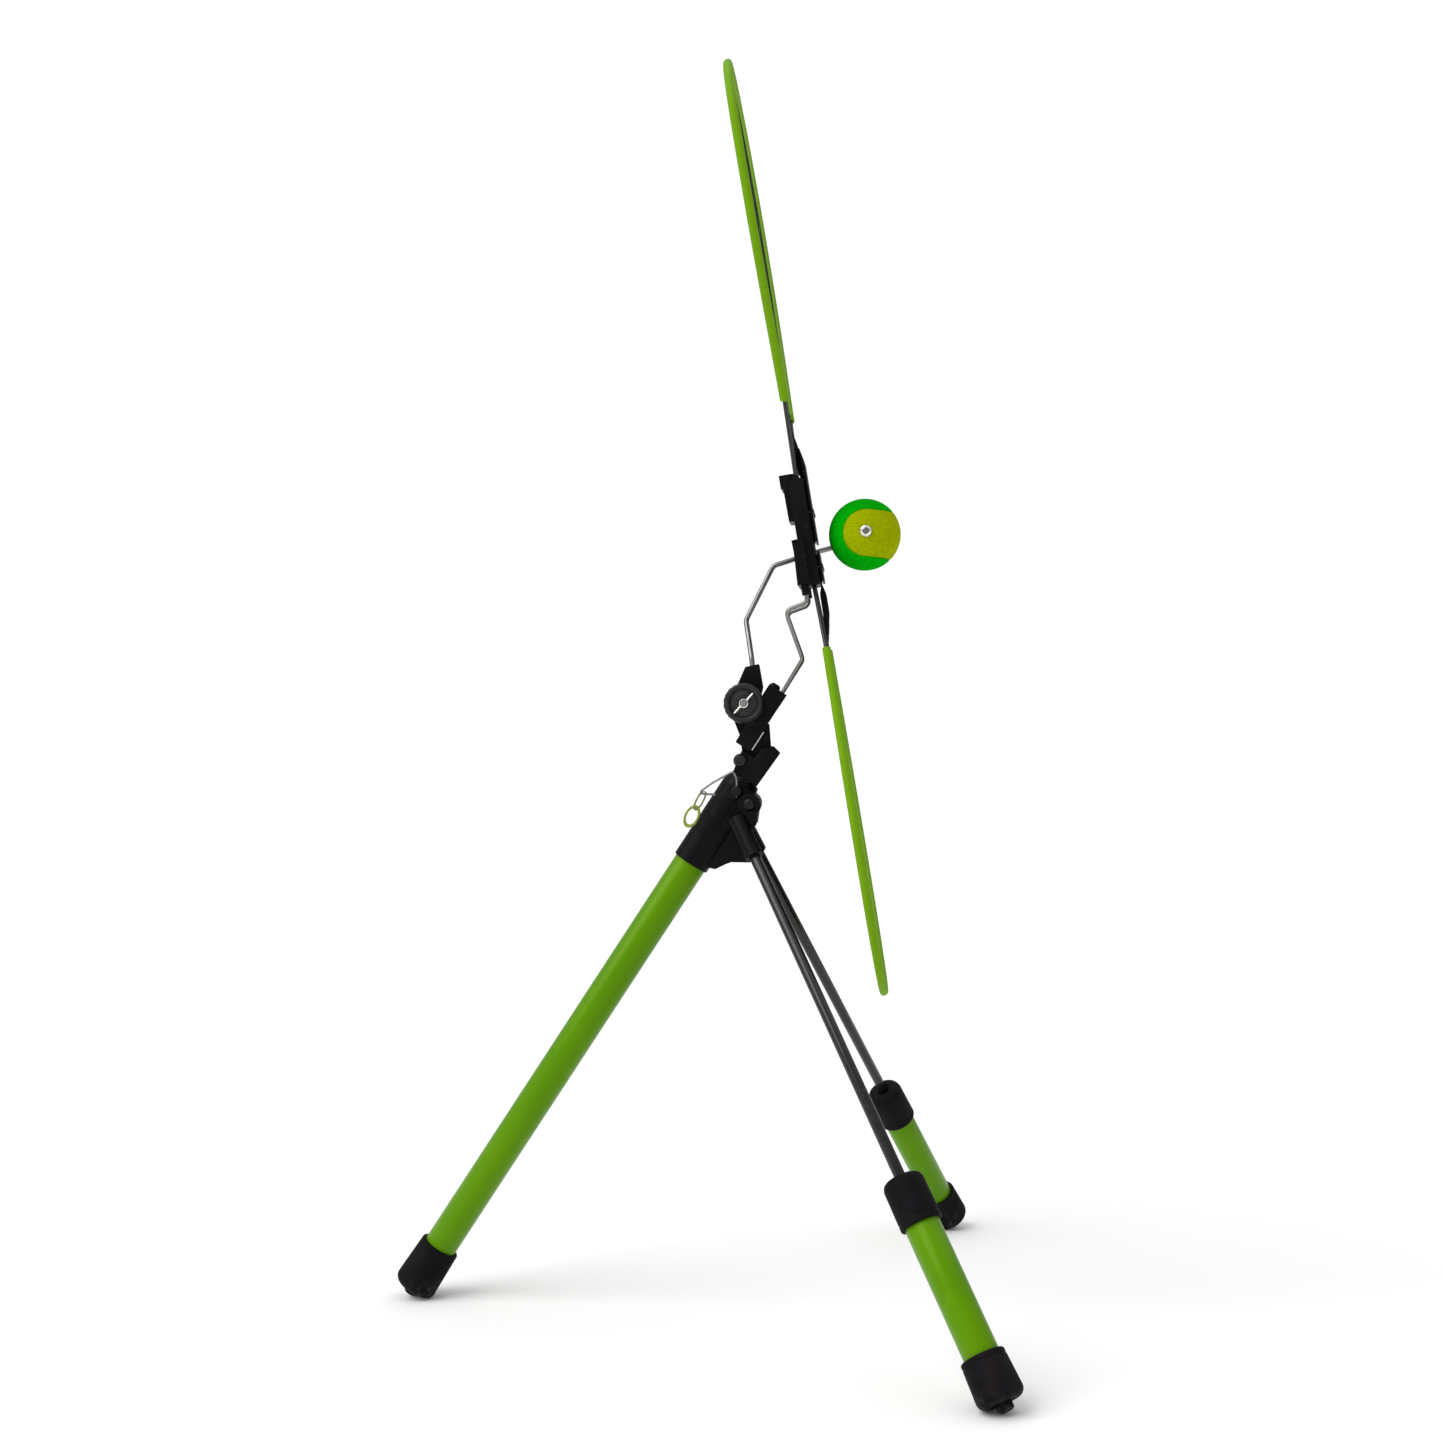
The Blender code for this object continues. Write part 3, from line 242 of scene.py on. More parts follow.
def piece_of(bm, name, body, material, replaced=(), crease=35):
    """Makes a finished bmesh an object, in its body and material slot, that stands for CAD nodes."""
    bmesh.ops.remove_doubles(bm, verts=bm.verts, dist=1e-7)
    bmesh.ops.recalc_face_normals(bm, faces=bm.faces)
    mesh = bpy.data.meshes.new(name)
    bm.to_mesh(mesh)
    bm.free()
    mesh.materials.append(material)
    mesh.shade_smooth()
    mesh.set_sharp_from_angle(angle=math.radians(crease))
    made = bpy.data.objects.new(name, mesh)
    scene.collection.objects.link(made)
    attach(made, body)
    if replaced:
        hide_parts(*replaced)
    return made


def eased(profile, radius, steps=3):
    """A profile of (radius, distance) points with every corner but its two ends rounded."""
    route = [Vector((*profile[0], 0))]
    points = [Vector((*point, 0)) for point in profile]
    for before, corner, after in zip(points, points[1:], points[2:]):
        back, forth = before - corner, after - corner
        reach = min(radius, back.length * 0.45, forth.length * 0.45)
        start, end = corner + back.normalized() * reach, corner + forth.normalized() * reach
        route += interpolate_bezier(start, corner.lerp(start, 0.45), corner.lerp(end, 0.45), end, steps)
    route.append(points[-1])
    return [(point.x, point.y) for point in route]


def lathe(profile, start, direction, sides=72):
    """Turns (radius, distance) points about a line; a profile that starts off the axis is closed first."""
    bm = bmesh.new()
    points = [bm.verts.new((max(radius, 0), 0, far)) for radius, far in profile]
    edges = [bm.edges.new(pair) for pair in zip(points, points[1:])]
    if profile[0][0] > 0:
        edges.append(bm.edges.new((points[-1], points[0])))
    outline = points + edges
    bmesh.ops.spin(
        bm, geom=outline, axis=(0, 0, 1), cent=(0, 0, 0), angle=2 * math.pi, steps=sides, use_merge=True
    )
    bmesh.ops.remove_doubles(bm, verts=bm.verts, dist=1e-7)
    turn = Vector(direction).to_track_quat("Z", "Y").to_matrix().to_4x4()
    bmesh.ops.transform(bm, matrix=Matrix.Translation(start) @ turn, verts=bm.verts)
    return bm


def tube(radius, wall, low, high, start, direction, sides):
    """A plain tube between two distances along a line, with its four rims eased."""
    inner = radius - wall
    rims = [(inner, low), (radius, low), (radius, high), (inner, high)]
    outline = [(inner, low + 40 * MM), *rims, (inner, low + 41 * MM)]
    return lathe(eased(outline, 0.4 * MM), start, direction, sides)


joints = {joint["name"]: joint for joint in frame["joints"]}
LIME = lime_paint("lime_paint", (0.074, 0.228, 0.0003))
LEG_FOOT = Vector((-266.7 * MM, 0, 0))
LEG_DIR = Vector(joints["post_slide"]["axis"])
LEG_RADIUS = 15.5 * MM
leg_bm = tube(LEG_RADIUS, 1.5 * MM, 20 * MM, 540 * MM, LEG_FOOT, LEG_DIR, 96)
piece_of(leg_bm, "long_leg_tube", "stand", LIME, ["main_tube"])


# Feet and weight caps: soft black rubber cups pushed over the tubes' ends. Each foot stands on its rounded
# rim, has a lip round its mouth and a nub in its end. They are moulded, so they are turned here.
def black_rubber(name):
    """Matt black rubber with a fine skin, grey rubs and floor dust low down."""
    finish = Finish(name, Specular_IOR_Level=0.09)
    clouds = finish.place.noise(55, 4)
    skin = finish.place.noise(1500, 2)
    height = finish.place.along((0, 0, 0), (0, 0, 1))
    dust = height.between(26 * MM, 0) * finish.place.noise(160, 4).between(0.42, 0.7) * 0.5
    colour = clouds.between(0.4, 0.7).mix((0.0034, 0.0026, 0.0036), (0.0078, 0.0062, 0.0078))
    finish.feed(Base_Color=dust.mix(colour, (0.075, 0.07, 0.062)), Roughness=clouds * 0.2 + 0.58)
    finish.bump(skin, 0.35, 0.15 * MM)
    return finish.material


RUBBER = black_rubber("black_rubber")
CAP_RADIUS = 20 * MM
CAP_FLOOR = 8 * MM
RIM = 7 * MM
NUB_RADIUS = 7 * MM
NUB_STEM = 4 * MM
NUB_ROUND = 1.5 * MM
NUB_LIFT = 0.4 * MM
DISH = 0.8 * MM
FIT = 0.3 * MM


def foot(name, ground, direction, length, tube_radius, body, cup_node, nub_node):
    """A cup whose rounded rim touches the ground, and the nub in its end; gives where the tube starts."""
    tilt = math.acos(direction.z)
    rim_centre = ((CAP_RADIUS - RIM) * math.sin(tilt) + RIM) / math.cos(tilt)
    end = rim_centre - RIM
    inside = end + CAP_FLOOR
    dish = [(NUB_STEM + FIT, end + DISH), (NUB_RADIUS + DISH, end + DISH), (NUB_RADIUS + DISH + MM, end)]
    rim = []
    for step in range(13):
        angle = math.pi / 24 * step
        rim.append((CAP_RADIUS - RIM + RIM * math.sin(angle), rim_centre - RIM * math.cos(angle)))
    neck = CAP_RADIUS - 1.3 * MM
    lip = length - 4.5 * MM
    mouth = [(neck + 0.12 * MM, lip - 1.2 * MM), (neck - 0.35 * MM, lip - 0.7 * MM), (neck - 0.35 * MM, lip)]
    mouth += [(neck + 0.1 * MM, lip + 0.5 * MM), (neck, length - 1.2 * MM), (neck - 1.2 * MM, length)]
    mouth.append((tube_radius + 0.2 * MM, length))
    bore = [(tube_radius + FIT, inside), (NUB_STEM + FIT, inside)]
    cup_bm = lathe(dish + rim + eased(mouth, 0.5 * MM) + bore, ground, direction)
    piece_of(cup_bm, f"{name}_cup", body, RUBBER, [cup_node], 50)
    nub_centre = ((NUB_RADIUS - NUB_ROUND) * math.sin(tilt) + NUB_ROUND + NUB_LIFT) / math.cos(tilt)
    nub_end = nub_centre - NUB_ROUND
    nub = [(0, nub_end + 0.5 * MM), (2.2 * MM, nub_end + 0.5 * MM), (2.8 * MM, nub_end)]
    nub += [(NUB_RADIUS - NUB_ROUND, nub_end), (NUB_RADIUS, nub_end + NUB_ROUND)]
    nub.append((NUB_RADIUS, end + 0.5 * MM))
    nub += [(NUB_STEM, end + 0.5 * MM), (NUB_STEM, inside - FIT), (0, inside - FIT)]
    nub_bm = lathe(eased(nub, 0.4 * MM), ground, direction, 48)
    piece_of(nub_bm, f"{name}_nub", body, RUBBER, [nub_node])
    return inside + FIT


foot("long_leg_foot", LEG_FOOT, LEG_DIR, 57.6 * MM, LEG_RADIUS, "stand", "main_foot_cap", "main_foot_nub")


# Hub: a black nylon moulding that grips the long leg, with a lug for the rear legs' rivet and a rib below.
# Its shape is the CAD one with its edges eased. A steel rivet carries both rear legs.
def black_plastic(name):
    """Satin black nylon: spark-eroded grain, faint flow marks and greyed rubs."""
    finish = Finish(name, Specular_IOR_Level=0.09)
    flow = finish.place.noise(24, 5)
    grain = finish.place.noise(1900, 2)
    rubs = finish.place.noise(120, 5).between(0.6, 0.72)
    colour = flow.between(0.4, 0.65).mix((0.0032, 0.00272, 0.00339), (0.00544, 0.00464, 0.0056))
    colour = (rubs * 0.3).mix(colour, (0.035, 0.032, 0.036))
    finish.feed(Base_Color=colour, Roughness=flow * 0.12 + 0.36 + rubs * 0.12)
    finish.bump(grain, 0.3, 0.12 * MM)
    return finish.material


def steel(name, shade, roughness, streak=(1, 1, 1)):
    """Bare metal with fine streaks and dull patches."""
    finish = Finish(name, Metallic=1.0)
    streaks = finish.place.noise(900, 3, streak)
    patches = finish.place.noise(60, 4)
    dark = tuple(part * 0.62 for part in shade)
    colour = (streaks * 0.4 + patches * 0.6).between(0.3, 0.62).mix(dark, shade)
    finish.feed(Base_Color=colour, Roughness=patches * 0.16 + roughness)
    finish.bump(streaks, 0.15, 0.06 * MM)
    return finish.material


def moulded(node_name, name, body, material, ease):
    """A copy of a CAD node with its triangles joined into faces and its edges eased."""
    crease = 40
    bm = bmesh.new()
    bm.from_mesh(frame["nodes"][node_name].data)
    bmesh.ops.remove_doubles(bm, verts=bm.verts, dist=2e-6)
    bmesh.ops.dissolve_limit(bm, angle_limit=math.radians(1.5), verts=bm.verts, edges=bm.edges)
    made = piece_of(bm, name, body, material, [node_name], crease)
    soften = made.modifiers.new("eased edges", "BEVEL")
    soften.width = ease
    soften.segments = 3
    soften.limit_method = "ANGLE"
    soften.angle_limit = math.radians(crease)
    return made


PLASTIC = black_plastic("black_plastic")
STEEL = steel("steel", (0.36, 0.36, 0.35), 0.24)
BLACKED = steel("black_steel", (0.03, 0.028, 0.031), 0.38)
LEFT = Vector((0, 1, 0))
moulded("hub", "hub_shell", "stand", PLASTIC, 0.7 * MM)
LEG_PIN = Vector(joints["rear_leg_left_fold"]["pos_m"])
RIVET_RADIUS = 2.5 * MM
RIVET_HALF = 28.3 * MM
rivet_head = [(5.5 * MM, RIVET_HALF), (5.4 * MM, RIVET_HALF + 0.7 * MM), (4.2 * MM, RIVET_HALF + 1.6 * MM)]
rivet_head += [(2.2 * MM, RIVET_HALF + 2 * MM), (0, RIVET_HALF + 2 * MM)]
rivet = [(radius, -far) for radius, far in reversed(rivet_head)]
rivet += [(RIVET_RADIUS, -RIVET_HALF), (RIVET_RADIUS, RIVET_HALF), *rivet_head]
rivet_bm = lathe(eased(rivet, 0.5 * MM), LEG_PIN, LEFT, 40)
piece_of(rivet_bm, "leg_rivet", "stand", BLACKED, ["leg_pin"])


# Rear legs: each has a nylon socket on the rivet, a steel rod in gloss black paint, and a weight: a steel
# core in a lime tube between a long rubber cap and a rubber foot. The left leg is the right one mirrored.
def black_paint(name):
    """Gloss black stove paint with a slight ripple, thin places and fine scratches along the rod."""
    finish = Finish(name, Specular_IOR_Level=0.35, Coat_Roughness=0.06)
    ripple = finish.place.noise(90, 3)
    scratches = finish.place.noise(700, 4, (1, 1, 0.06)).between(0.64, 0.7)
    colour = ripple.between(0.35, 0.65).mix((0.006, 0.005, 0.0062), (0.011, 0.0095, 0.0112))
    colour = (scratches * 0.4).mix(colour, (0.06, 0.06, 0.062))
    roughness = ripple * 0.1 + 0.2 + scratches * 0.2
    finish.feed(Base_Color=colour, Roughness=roughness, Coat_Weight=0.25 - scratches * 0.2)
    finish.bump(ripple, 0.1, 0.15 * MM)
    return finish.material


BLACK_PAINT = black_paint("black_paint")
LEG_TOP = Vector((27.5 * MM, 12 * MM, 480 * MM))
LEG_GROUND = Vector((264.1 * MM, 282.2 * MM, 0))
SOCKET_FLOOR = 46 * MM
ROD_RADIUS = 5 * MM
ROD_START = 150 * MM
WEIGHT_RADIUS = 15 * MM
WEIGHT_WALL = 1.2 * MM
WEIGHT_TOP = 190 * MM
CAP_START, CAP_END = 160.7 * MM, 202.6 * MM
for side_name, side in (("left", 1), ("right", -1)):
    leg_body = f"rear_leg_{side_name}"
    ground = Vector((LEG_GROUND.x, LEG_GROUND.y * side, 0))
    leg = Vector((LEG_TOP.x, LEG_TOP.y * side, LEG_TOP.z)) - ground
    rise = leg.normalized()
    moulded(
        f"leg_socket_{side_name}", f"rear_socket_{side_name}", leg_body, PLASTIC, 0.6 * MM
    )
    rod_end = leg.length - SOCKET_FLOOR - FIT
    rod = [(0, ROD_START), (ROD_RADIUS, ROD_START), (ROD_RADIUS, rod_end), (0, rod_end)]
    rod_bm = lathe(eased(rod, 0.6 * MM), ground, rise, 40)
    piece_of(rod_bm, f"rear_rod_{side_name}", leg_body, BLACK_PAINT, [f"leg_rod_{side_name}"])
    weight_start = foot(
        f"rear_foot_{side_name}", ground, rise, 49.8 * MM, WEIGHT_RADIUS, leg_body,
        f"weight_foot_cap_{side_name}", f"weight_foot_nub_{side_name}",
    )
    weight_bm = tube(WEIGHT_RADIUS, WEIGHT_WALL, weight_start, WEIGHT_TOP, ground, rise, 72)
    piece_of(
        weight_bm, f"rear_weight_tube_{side_name}", leg_body, LIME, [f"weight_tube_{side_name}"]
    )
    bore, rod_hole = WEIGHT_RADIUS + FIT, ROD_RADIUS + FIT
    cap = [(bore, CAP_START + 10 * MM), (bore, CAP_START), (17.6 * MM, CAP_START)]
    cap += [(18.2 * MM, CAP_START + MM), (18.2 * MM, CAP_START + 4.6 * MM), (17.7 * MM, CAP_START + 5.2 * MM)]
    cap += [(17.7 * MM, CAP_START + 6.2 * MM), (18.1 * MM, CAP_START + 6.8 * MM)]
    cap.append((17.8 * MM, CAP_END - 6 * MM))
    cap += [(16 * MM, CAP_END - 2 * MM), (12.5 * MM, CAP_END), (7.4 * MM, CAP_END)]
    cap += [(6.6 * MM, CAP_END - 0.9 * MM), (rod_hole, CAP_END - 0.9 * MM), (rod_hole, WEIGHT_TOP + FIT)]
    cap += [(bore, WEIGHT_TOP + FIT), (bore, CAP_START + 11 * MM)]
    cap_bm = lathe(eased(cap, 0.9 * MM), ground, rise)
    piece_of(
        cap_bm, f"rear_weight_cap_{side_name}", leg_body, RUBBER,
        [f"weight_top_cap_{side_name}"],
    )


# Height post: an anodised aluminium tube with a slot for the lock pin, which slides in a white nylon bush
# in the long leg's mouth and has a nylon plug on its lower end. Both nylon pieces keep their CAD shapes.
def keep(node_name, material):
    """Gives a finish to a CAD node whose shape stays as it is."""
    for material_slot in frame["nodes"][node_name].material_slots:
        material_slot.material = material


def nylon(name):
    """White nylon with a waxy cloudiness, a fine skin and some grey grease."""
    finish = Finish(name, Specular_IOR_Level=0.45)
    clouds = finish.place.noise(40, 4)
    grease = finish.place.noise(130, 5).between(0.58, 0.72)
    colour = clouds.between(0.4, 0.65).mix((0.516, 0.516, 0.473), (0.6, 0.6, 0.55))
    finish.feed(Base_Color=(grease * 0.3).mix(colour, (0.25, 0.24, 0.22)), Roughness=clouds * 0.16 + 0.34)
    finish.bump(finish.place.noise(1300, 2), 0.12, 0.1 * MM)
    return finish.material


drawn_along = tuple(1.2 - 1.1 * abs(part) for part in LEG_DIR)
ALUMINIUM = steel("aluminium", (0.62, 0.63, 0.64), 0.3, drawn_along)
NYLON = nylon("white_plastic")
keep("post_tube", ALUMINIUM)
keep("post_plug", NYLON)
keep("post_bush", NYLON)
keep("weight_core_left", STEEL)
keep("weight_core_right", STEEL)


# Head: a nylon block on the post with a tongue between the two clamps, pinched by a small black bolt
# whose steel nut is on the far side. The bolt's head has a hexagon socket.
def hexagon_socket(bm, start, direction, radius, depth, top):
    """Sinks a six-sided socket in the end of a turned piece, through the rings of points across it."""
    turn = Vector(direction).to_track_quat("Z", "Y").to_matrix().to_4x4()
    into = (Matrix.Translation(start) @ turn).inverted()
    for vert in bm.verts:
        local = into @ vert.co
        if local.z < top - 0.2 * MM:
            continue
        angle = math.atan2(local.y, local.x) % (math.pi / 3) - math.pi / 6
        if math.hypot(local.x, local.y) * math.cos(angle) < radius:
            vert.co -= Vector(direction) * depth


moulded("post_head", "head_block", "post", PLASTIC, 0.8 * MM)
PINCH = Vector((44.6 * MM, 0, 502.6 * MM))
PINCH_RADIUS = 1.9 * MM
PINCH_SEAT = 15.8 * MM
PINCH_HEAD = 5.4 * MM
HEXAGON = 2.5 * MM
HEAD_RINGS = 18
pinch_tail, pinch_end = -PINCH_SEAT - 5 * MM, PINCH_SEAT + 4 * MM
pinch = [(0, pinch_tail), (PINCH_RADIUS, pinch_tail), (PINCH_RADIUS, PINCH_SEAT), (PINCH_HEAD, PINCH_SEAT)]
pinch += [(PINCH_HEAD, pinch_end - 0.9 * MM), (4.6 * MM, pinch_end)]
pinch += [(4.6 * MM * (1 - ring / HEAD_RINGS), pinch_end) for ring in range(1, HEAD_RINGS + 1)]
pinch_bm = lathe(pinch, PINCH, -LEFT)
hexagon_socket(pinch_bm, PINCH, -LEFT, HEXAGON, 2.2 * MM, pinch_end)
piece_of(pinch_bm, "pinch_screw", "post", BLACK_PAINT, ["pinch_bolt"])
keep("pinch_nut", STEEL)


# Clamps: two nylon arms on one bolt, either side of the tongue. The far one holds the ball's wire, and the
# near one holds the fork; a thin bright plate lies along its edge, and a round cap covers its end.
def bright_metal(name):
    """Polished nickel plate, nearly clean, with hair lines and a few cloudy spots."""
    finish = Finish(name, Metallic=1.0)
    lines = finish.place.noise(1400, 3, (1, 0.12, 1))
    spots = finish.place.noise(180, 4).between(0.55, 0.75)
    colour = (lines * 0.5 + spots * 0.5).between(0.2, 0.75).mix((0.86, 0.85, 0.83), (0.6, 0.59, 0.57))
    finish.feed(Base_Color=colour, Roughness=lines * 0.12 + 0.14 + spots * 0.14)
    finish.bump(lines, 0.1, 0.05 * MM)
    return finish.material


BRIGHT = bright_metal("bright_metal")
CLAMP_AXIS = Vector(joints["knob_turn"]["pos_m"])
moulded("ball_arm_clamp", "upper_clamp", "ball_arm_unit", PLASTIC, 0.9 * MM)
moulded("screen_clamp", "lower_clamp", "fork_unit", PLASTIC, 0.9 * MM)
moulded("jaw_plate", "clamp_strip", "fork_unit", BRIGHT, 0.25 * MM)
end_cap = [(0, -4.6 * MM), (5.2 * MM, -4.6 * MM), (5.3 * MM, 1.5 * MM), (4.8 * MM, 2.9 * MM)]
end_cap += [(3.4 * MM, 4.2 * MM), (2.4 * MM, 4.5 * MM), (2 * MM, 3.9 * MM), (0, 3.9 * MM)]
end_cap_low, end_cap_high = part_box("retainer_cap")
end_cap_bm = lathe(eased(end_cap, 0.8 * MM), (end_cap_low + end_cap_high) / 2, LEG_DIR, 48)
piece_of(end_cap_bm, "clamp_end_cap", "fork_unit", PLASTIC, ["retainer_cap"])
CLAMP_FACE = 14.6 * MM
CLAMP_BOLT = 3 * MM
CLAMP_BORE = CLAMP_BOLT + FIT
WASHER_TOP = CLAMP_FACE + 1.2 * MM
washer = [(CLAMP_BORE, CLAMP_FACE), (9 * MM, CLAMP_FACE), (9 * MM, WASHER_TOP), (CLAMP_BORE, WASHER_TOP)]
washer_bm = lathe(eased(washer, 0.3 * MM), CLAMP_AXIS, LEFT, 56)
piece_of(washer_bm, "clamp_washer_ring", "post", STEEL, ["clamp_washer"])
seat, head_end = WASHER_TOP + FIT, WASHER_TOP + FIT + 4 * MM
through = [(0, -30 * MM), (2.6 * MM, -30 * MM), (CLAMP_BOLT, -29.4 * MM), (CLAMP_BOLT, seat)]
through += [(5.8 * MM, seat), (5.8 * MM, head_end - MM), (4.8 * MM, head_end)]
through += [(4.8 * MM * (1 - ring / HEAD_RINGS), head_end) for ring in range(1, HEAD_RINGS + 1)]
through_bm = lathe(through, CLAMP_AXIS, LEFT)
hexagon_socket(through_bm, CLAMP_AXIS, LEFT, HEXAGON, 2.4 * MM, head_end)
piece_of(through_bm, "clamp_through_bolt", "post", STEEL, ["clamp_bolt"])


# Knob: a round nylon cup with shallow finger flutes, and a bright wing nut pressed into it. The cup is
# turned and then fluted; the wings are two eased blades on a turned boss.
KNOB_RADIUS = 18.5 * MM
KNOB_RIM, KNOB_FLOOR = CLAMP_FACE + 15 * MM, CLAMP_FACE + 6 * MM
FLUTES = 20
FLUTE_DEPTH = 0.35 * MM
knob = [(CLAMP_BORE, CLAMP_FACE), (10 * MM, CLAMP_FACE), (16 * MM, CLAMP_FACE + 3.6 * MM)]
knob += [(KNOB_RADIUS, CLAMP_FACE + far * MM) for far in (6.8, 8, 9, 10, 11, 12)]
knob += [(KNOB_RADIUS - 0.5 * MM, KNOB_RIM - 1.4 * MM), (KNOB_RADIUS - 2 * MM, KNOB_RIM)]
knob += [(14.6 * MM, KNOB_RIM), (13.6 * MM, KNOB_RIM - 0.8 * MM)]
knob += [(13.2 * MM, KNOB_FLOOR + 0.8 * MM), (12.6 * MM, KNOB_FLOOR)]
knob += [(11.5 * MM, KNOB_FLOOR), (11.2 * MM, KNOB_FLOOR + 0.5 * MM), (8 * MM, KNOB_FLOOR + 0.5 * MM)]
knob += [(7.7 * MM, KNOB_FLOOR), (CLAMP_BORE, KNOB_FLOOR)]
knob_bm = lathe(knob, CLAMP_AXIS, -LEFT, 160)
for vert in knob_bm.verts:
    arm = vert.co - CLAMP_AXIS
    across = Vector((arm.x, 0, arm.z))
    if across.length > KNOB_RADIUS - 1.2 * MM:
        flute = max(0, math.cos(FLUTES * math.atan2(arm.z, arm.x))) ** 1.5
        vert.co -= across.normalized() * FLUTE_DEPTH * flute
knob_finish = Finish("black_plastic_knob", Specular_IOR_Level=0.32)
knob_clouds = knob_finish.place.noise(60, 4)
off_axis = knob_finish.place.vector("SUBTRACT", tuple(CLAMP_AXIS)).vector("MULTIPLY", (1, 0, 1))
floor_mask = off_axis.vector("LENGTH", output=1).between(12.9 * MM, 12.6 * MM)
knob_black = knob_clouds.between(0.4, 0.65).mix((0.011, 0.0095, 0.011), (0.02, 0.018, 0.02))
knob_grey = knob_clouds.between(0.35, 0.65).mix((0.035, 0.03, 0.03), (0.07, 0.064, 0.062))
knob_finish.feed(Base_Color=floor_mask.mix(knob_black, knob_grey), Roughness=knob_clouds * 0.16 + 0.36)
knob_finish.bump(knob_finish.place.noise(1700, 2), 0.3, 0.12 * MM)
piece_of(knob_bm, "knob_shell", "knob", knob_finish.material, ["knob_cup"], 30)
boss_foot, boss_top = KNOB_FLOOR + 2 * FIT, KNOB_FLOOR + 8 * MM
boss = [(CLAMP_BORE, boss_foot), (5.6 * MM, boss_foot), (4.3 * MM, boss_top), (CLAMP_BORE, boss_top)]
wing_bm = lathe(eased(boss, 0.5 * MM), CLAMP_AXIS, -LEFT, 48)
boss_middle = Matrix.Translation(CLAMP_AXIS - LEFT * (boss_foot + boss_top) * 0.5)
wing_place = boss_middle @ Matrix.Rotation(math.radians(-47), 4, "Y")
for hand in (1, -1):
    blade = bmesh.ops.create_cube(wing_bm, size=1)["verts"]
    bmesh.ops.scale(wing_bm, verts=blade, vec=(9.2 * MM, 6.2 * MM, 2.4 * MM))
    for vert in blade:
        if vert.co.x * hand > 0:
            vert.co.z *= 0.72
            vert.co.y -= 1.2 * MM if vert.co.y < 0 else 1.6 * MM
    blade_edges = list({edge for vert in blade for edge in vert.link_edges})
    wing = bmesh.ops.bevel(
        wing_bm, geom=blade_edges, offset=0.8 * MM, segments=3, profile=0.5, affect="EDGES", material=-1
    )["verts"]
    bmesh.ops.translate(wing_bm, verts=wing, vec=(hand * 8.4 * MM, 0, 0))
    bmesh.ops.transform(wing_bm, verts=wing, matrix=wing_place)
piece_of(wing_bm, "knob_wing_nut", "knob", BRIGHT, ["wing_nut"], 30)


# The ball's axle: one drawn steel wire, bent up from its clamp, past the screen's hub and into the ball
# from the far side. A washer and a push-on nut hold the ball on it.
def bend_through(points, radius, steps=8):
    """A line through points with each corner bent to about a radius."""
    route = [points[0]]
    for before, corner, after in zip(points, points[1:], points[2:]):
        back, forth = (before - corner).normalized(), (after - corner).normalized()
        shorter = min((before - corner).length, (after - corner).length)
        reach = min(radius / math.tan(back.angle(forth) / 2), shorter * 0.45)
        start, end = corner + back * reach, corner + forth * reach
        route += interpolate_bezier(start, corner.lerp(start, 0.45), corner.lerp(end, 0.45), end, steps)
    route.append(points[-1])
    return route


def wire_along(points, radius, sides=24, inward=None, section=None):
    """A round bar along a line of points, with eased ends and its UV in metres.

    A section gives another outline, by the angle from the inward side; its ends stay plain.
    """
    bm = bmesh.new()
    uv = bm.loops.layers.uv.new("along")
    heading = (points[1] - points[0]).normalized()
    turn = heading.to_track_quat("Z", "Y").to_matrix()
    if inward is not None:
        across = (inward - heading * inward.dot(heading)).normalized()
        turn = Matrix((across, heading.cross(across), heading)).transposed()
    run = 0.0
    placed = {}
    ring_before = None
    for index, point in enumerate(points):
        ahead = (points[min(index + 1, len(points) - 1)] - points[max(index - 1, 0)]).normalized()
        turn = heading.rotation_difference(ahead).to_matrix() @ turn
        heading = ahead
        run += (point - points[max(index - 1, 0)]).length
        ring = bmesh.ops.create_circle(bm, segments=sides, radius=radius)["verts"]
        for vert in ring:
            angle = math.atan2(vert.co.y, vert.co.x) % (2 * math.pi)
            placed[vert] = (run, angle)
            if section is not None:
                vert.co = section(angle)
        ring_edges = list({edge for vert in ring for edge in vert.link_edges})
        bmesh.ops.transform(bm, verts=ring, matrix=Matrix.Translation(point) @ turn.to_4x4())
        if ring_before is not None:
            bmesh.ops.bridge_loops(bm, edges=ring_before + ring_edges)
        ring_before = ring_edges
    for face in bm.faces:
        angles = [placed[corner.vert][1] for corner in face.loops]
        wraps = max(angles) - min(angles) > math.pi
        for corner, angle in zip(face.loops, angles):
            around = angle + 2 * math.pi if wraps and angle < math.pi else angle
            corner[uv].uv = (placed[corner.vert][0], around * radius)
    open_edges = [edge for edge in bm.edges if edge.is_boundary]
    bmesh.ops.holes_fill(bm, edges=open_edges, sides=0)
    if section is None:
        bmesh.ops.bevel(
            bm, geom=open_edges, offset=radius * 0.3, segments=3, profile=0.5, affect="EDGES", material=-1
        )
    return bm


WIRE = steel("drawn_wire", (0.27, 0.27, 0.26), 0.26)
BALL_CENTRE = Vector(joints["ball_spin"]["pos_m"])
BALL_RADIUS = 33.3 * MM
ARM_RADIUS = 2.5 * MM
ARM_Y = 9.8 * MM
arm_route = [
    Vector((56.6 * MM, ARM_Y, 572.5 * MM)), Vector((54.2 * MM, ARM_Y, 598 * MM)),
    Vector((48.2 * MM, 30 * MM, 634.7 * MM)), Vector((73.8 * MM, 37 * MM, 686.8 * MM)),
    Vector((117 * MM, 40.5 * MM, 700.8 * MM)), BALL_CENTRE + LEFT * 42.5 * MM, BALL_CENTRE - LEFT * 38 * MM,
]
arm_bm = wire_along(bend_through(arm_route, 8 * MM), ARM_RADIUS)
piece_of(arm_bm, "ball_wire", "ball_arm_unit", WIRE, ["ball_arm"])
AXLE_BORE = ARM_RADIUS + FIT
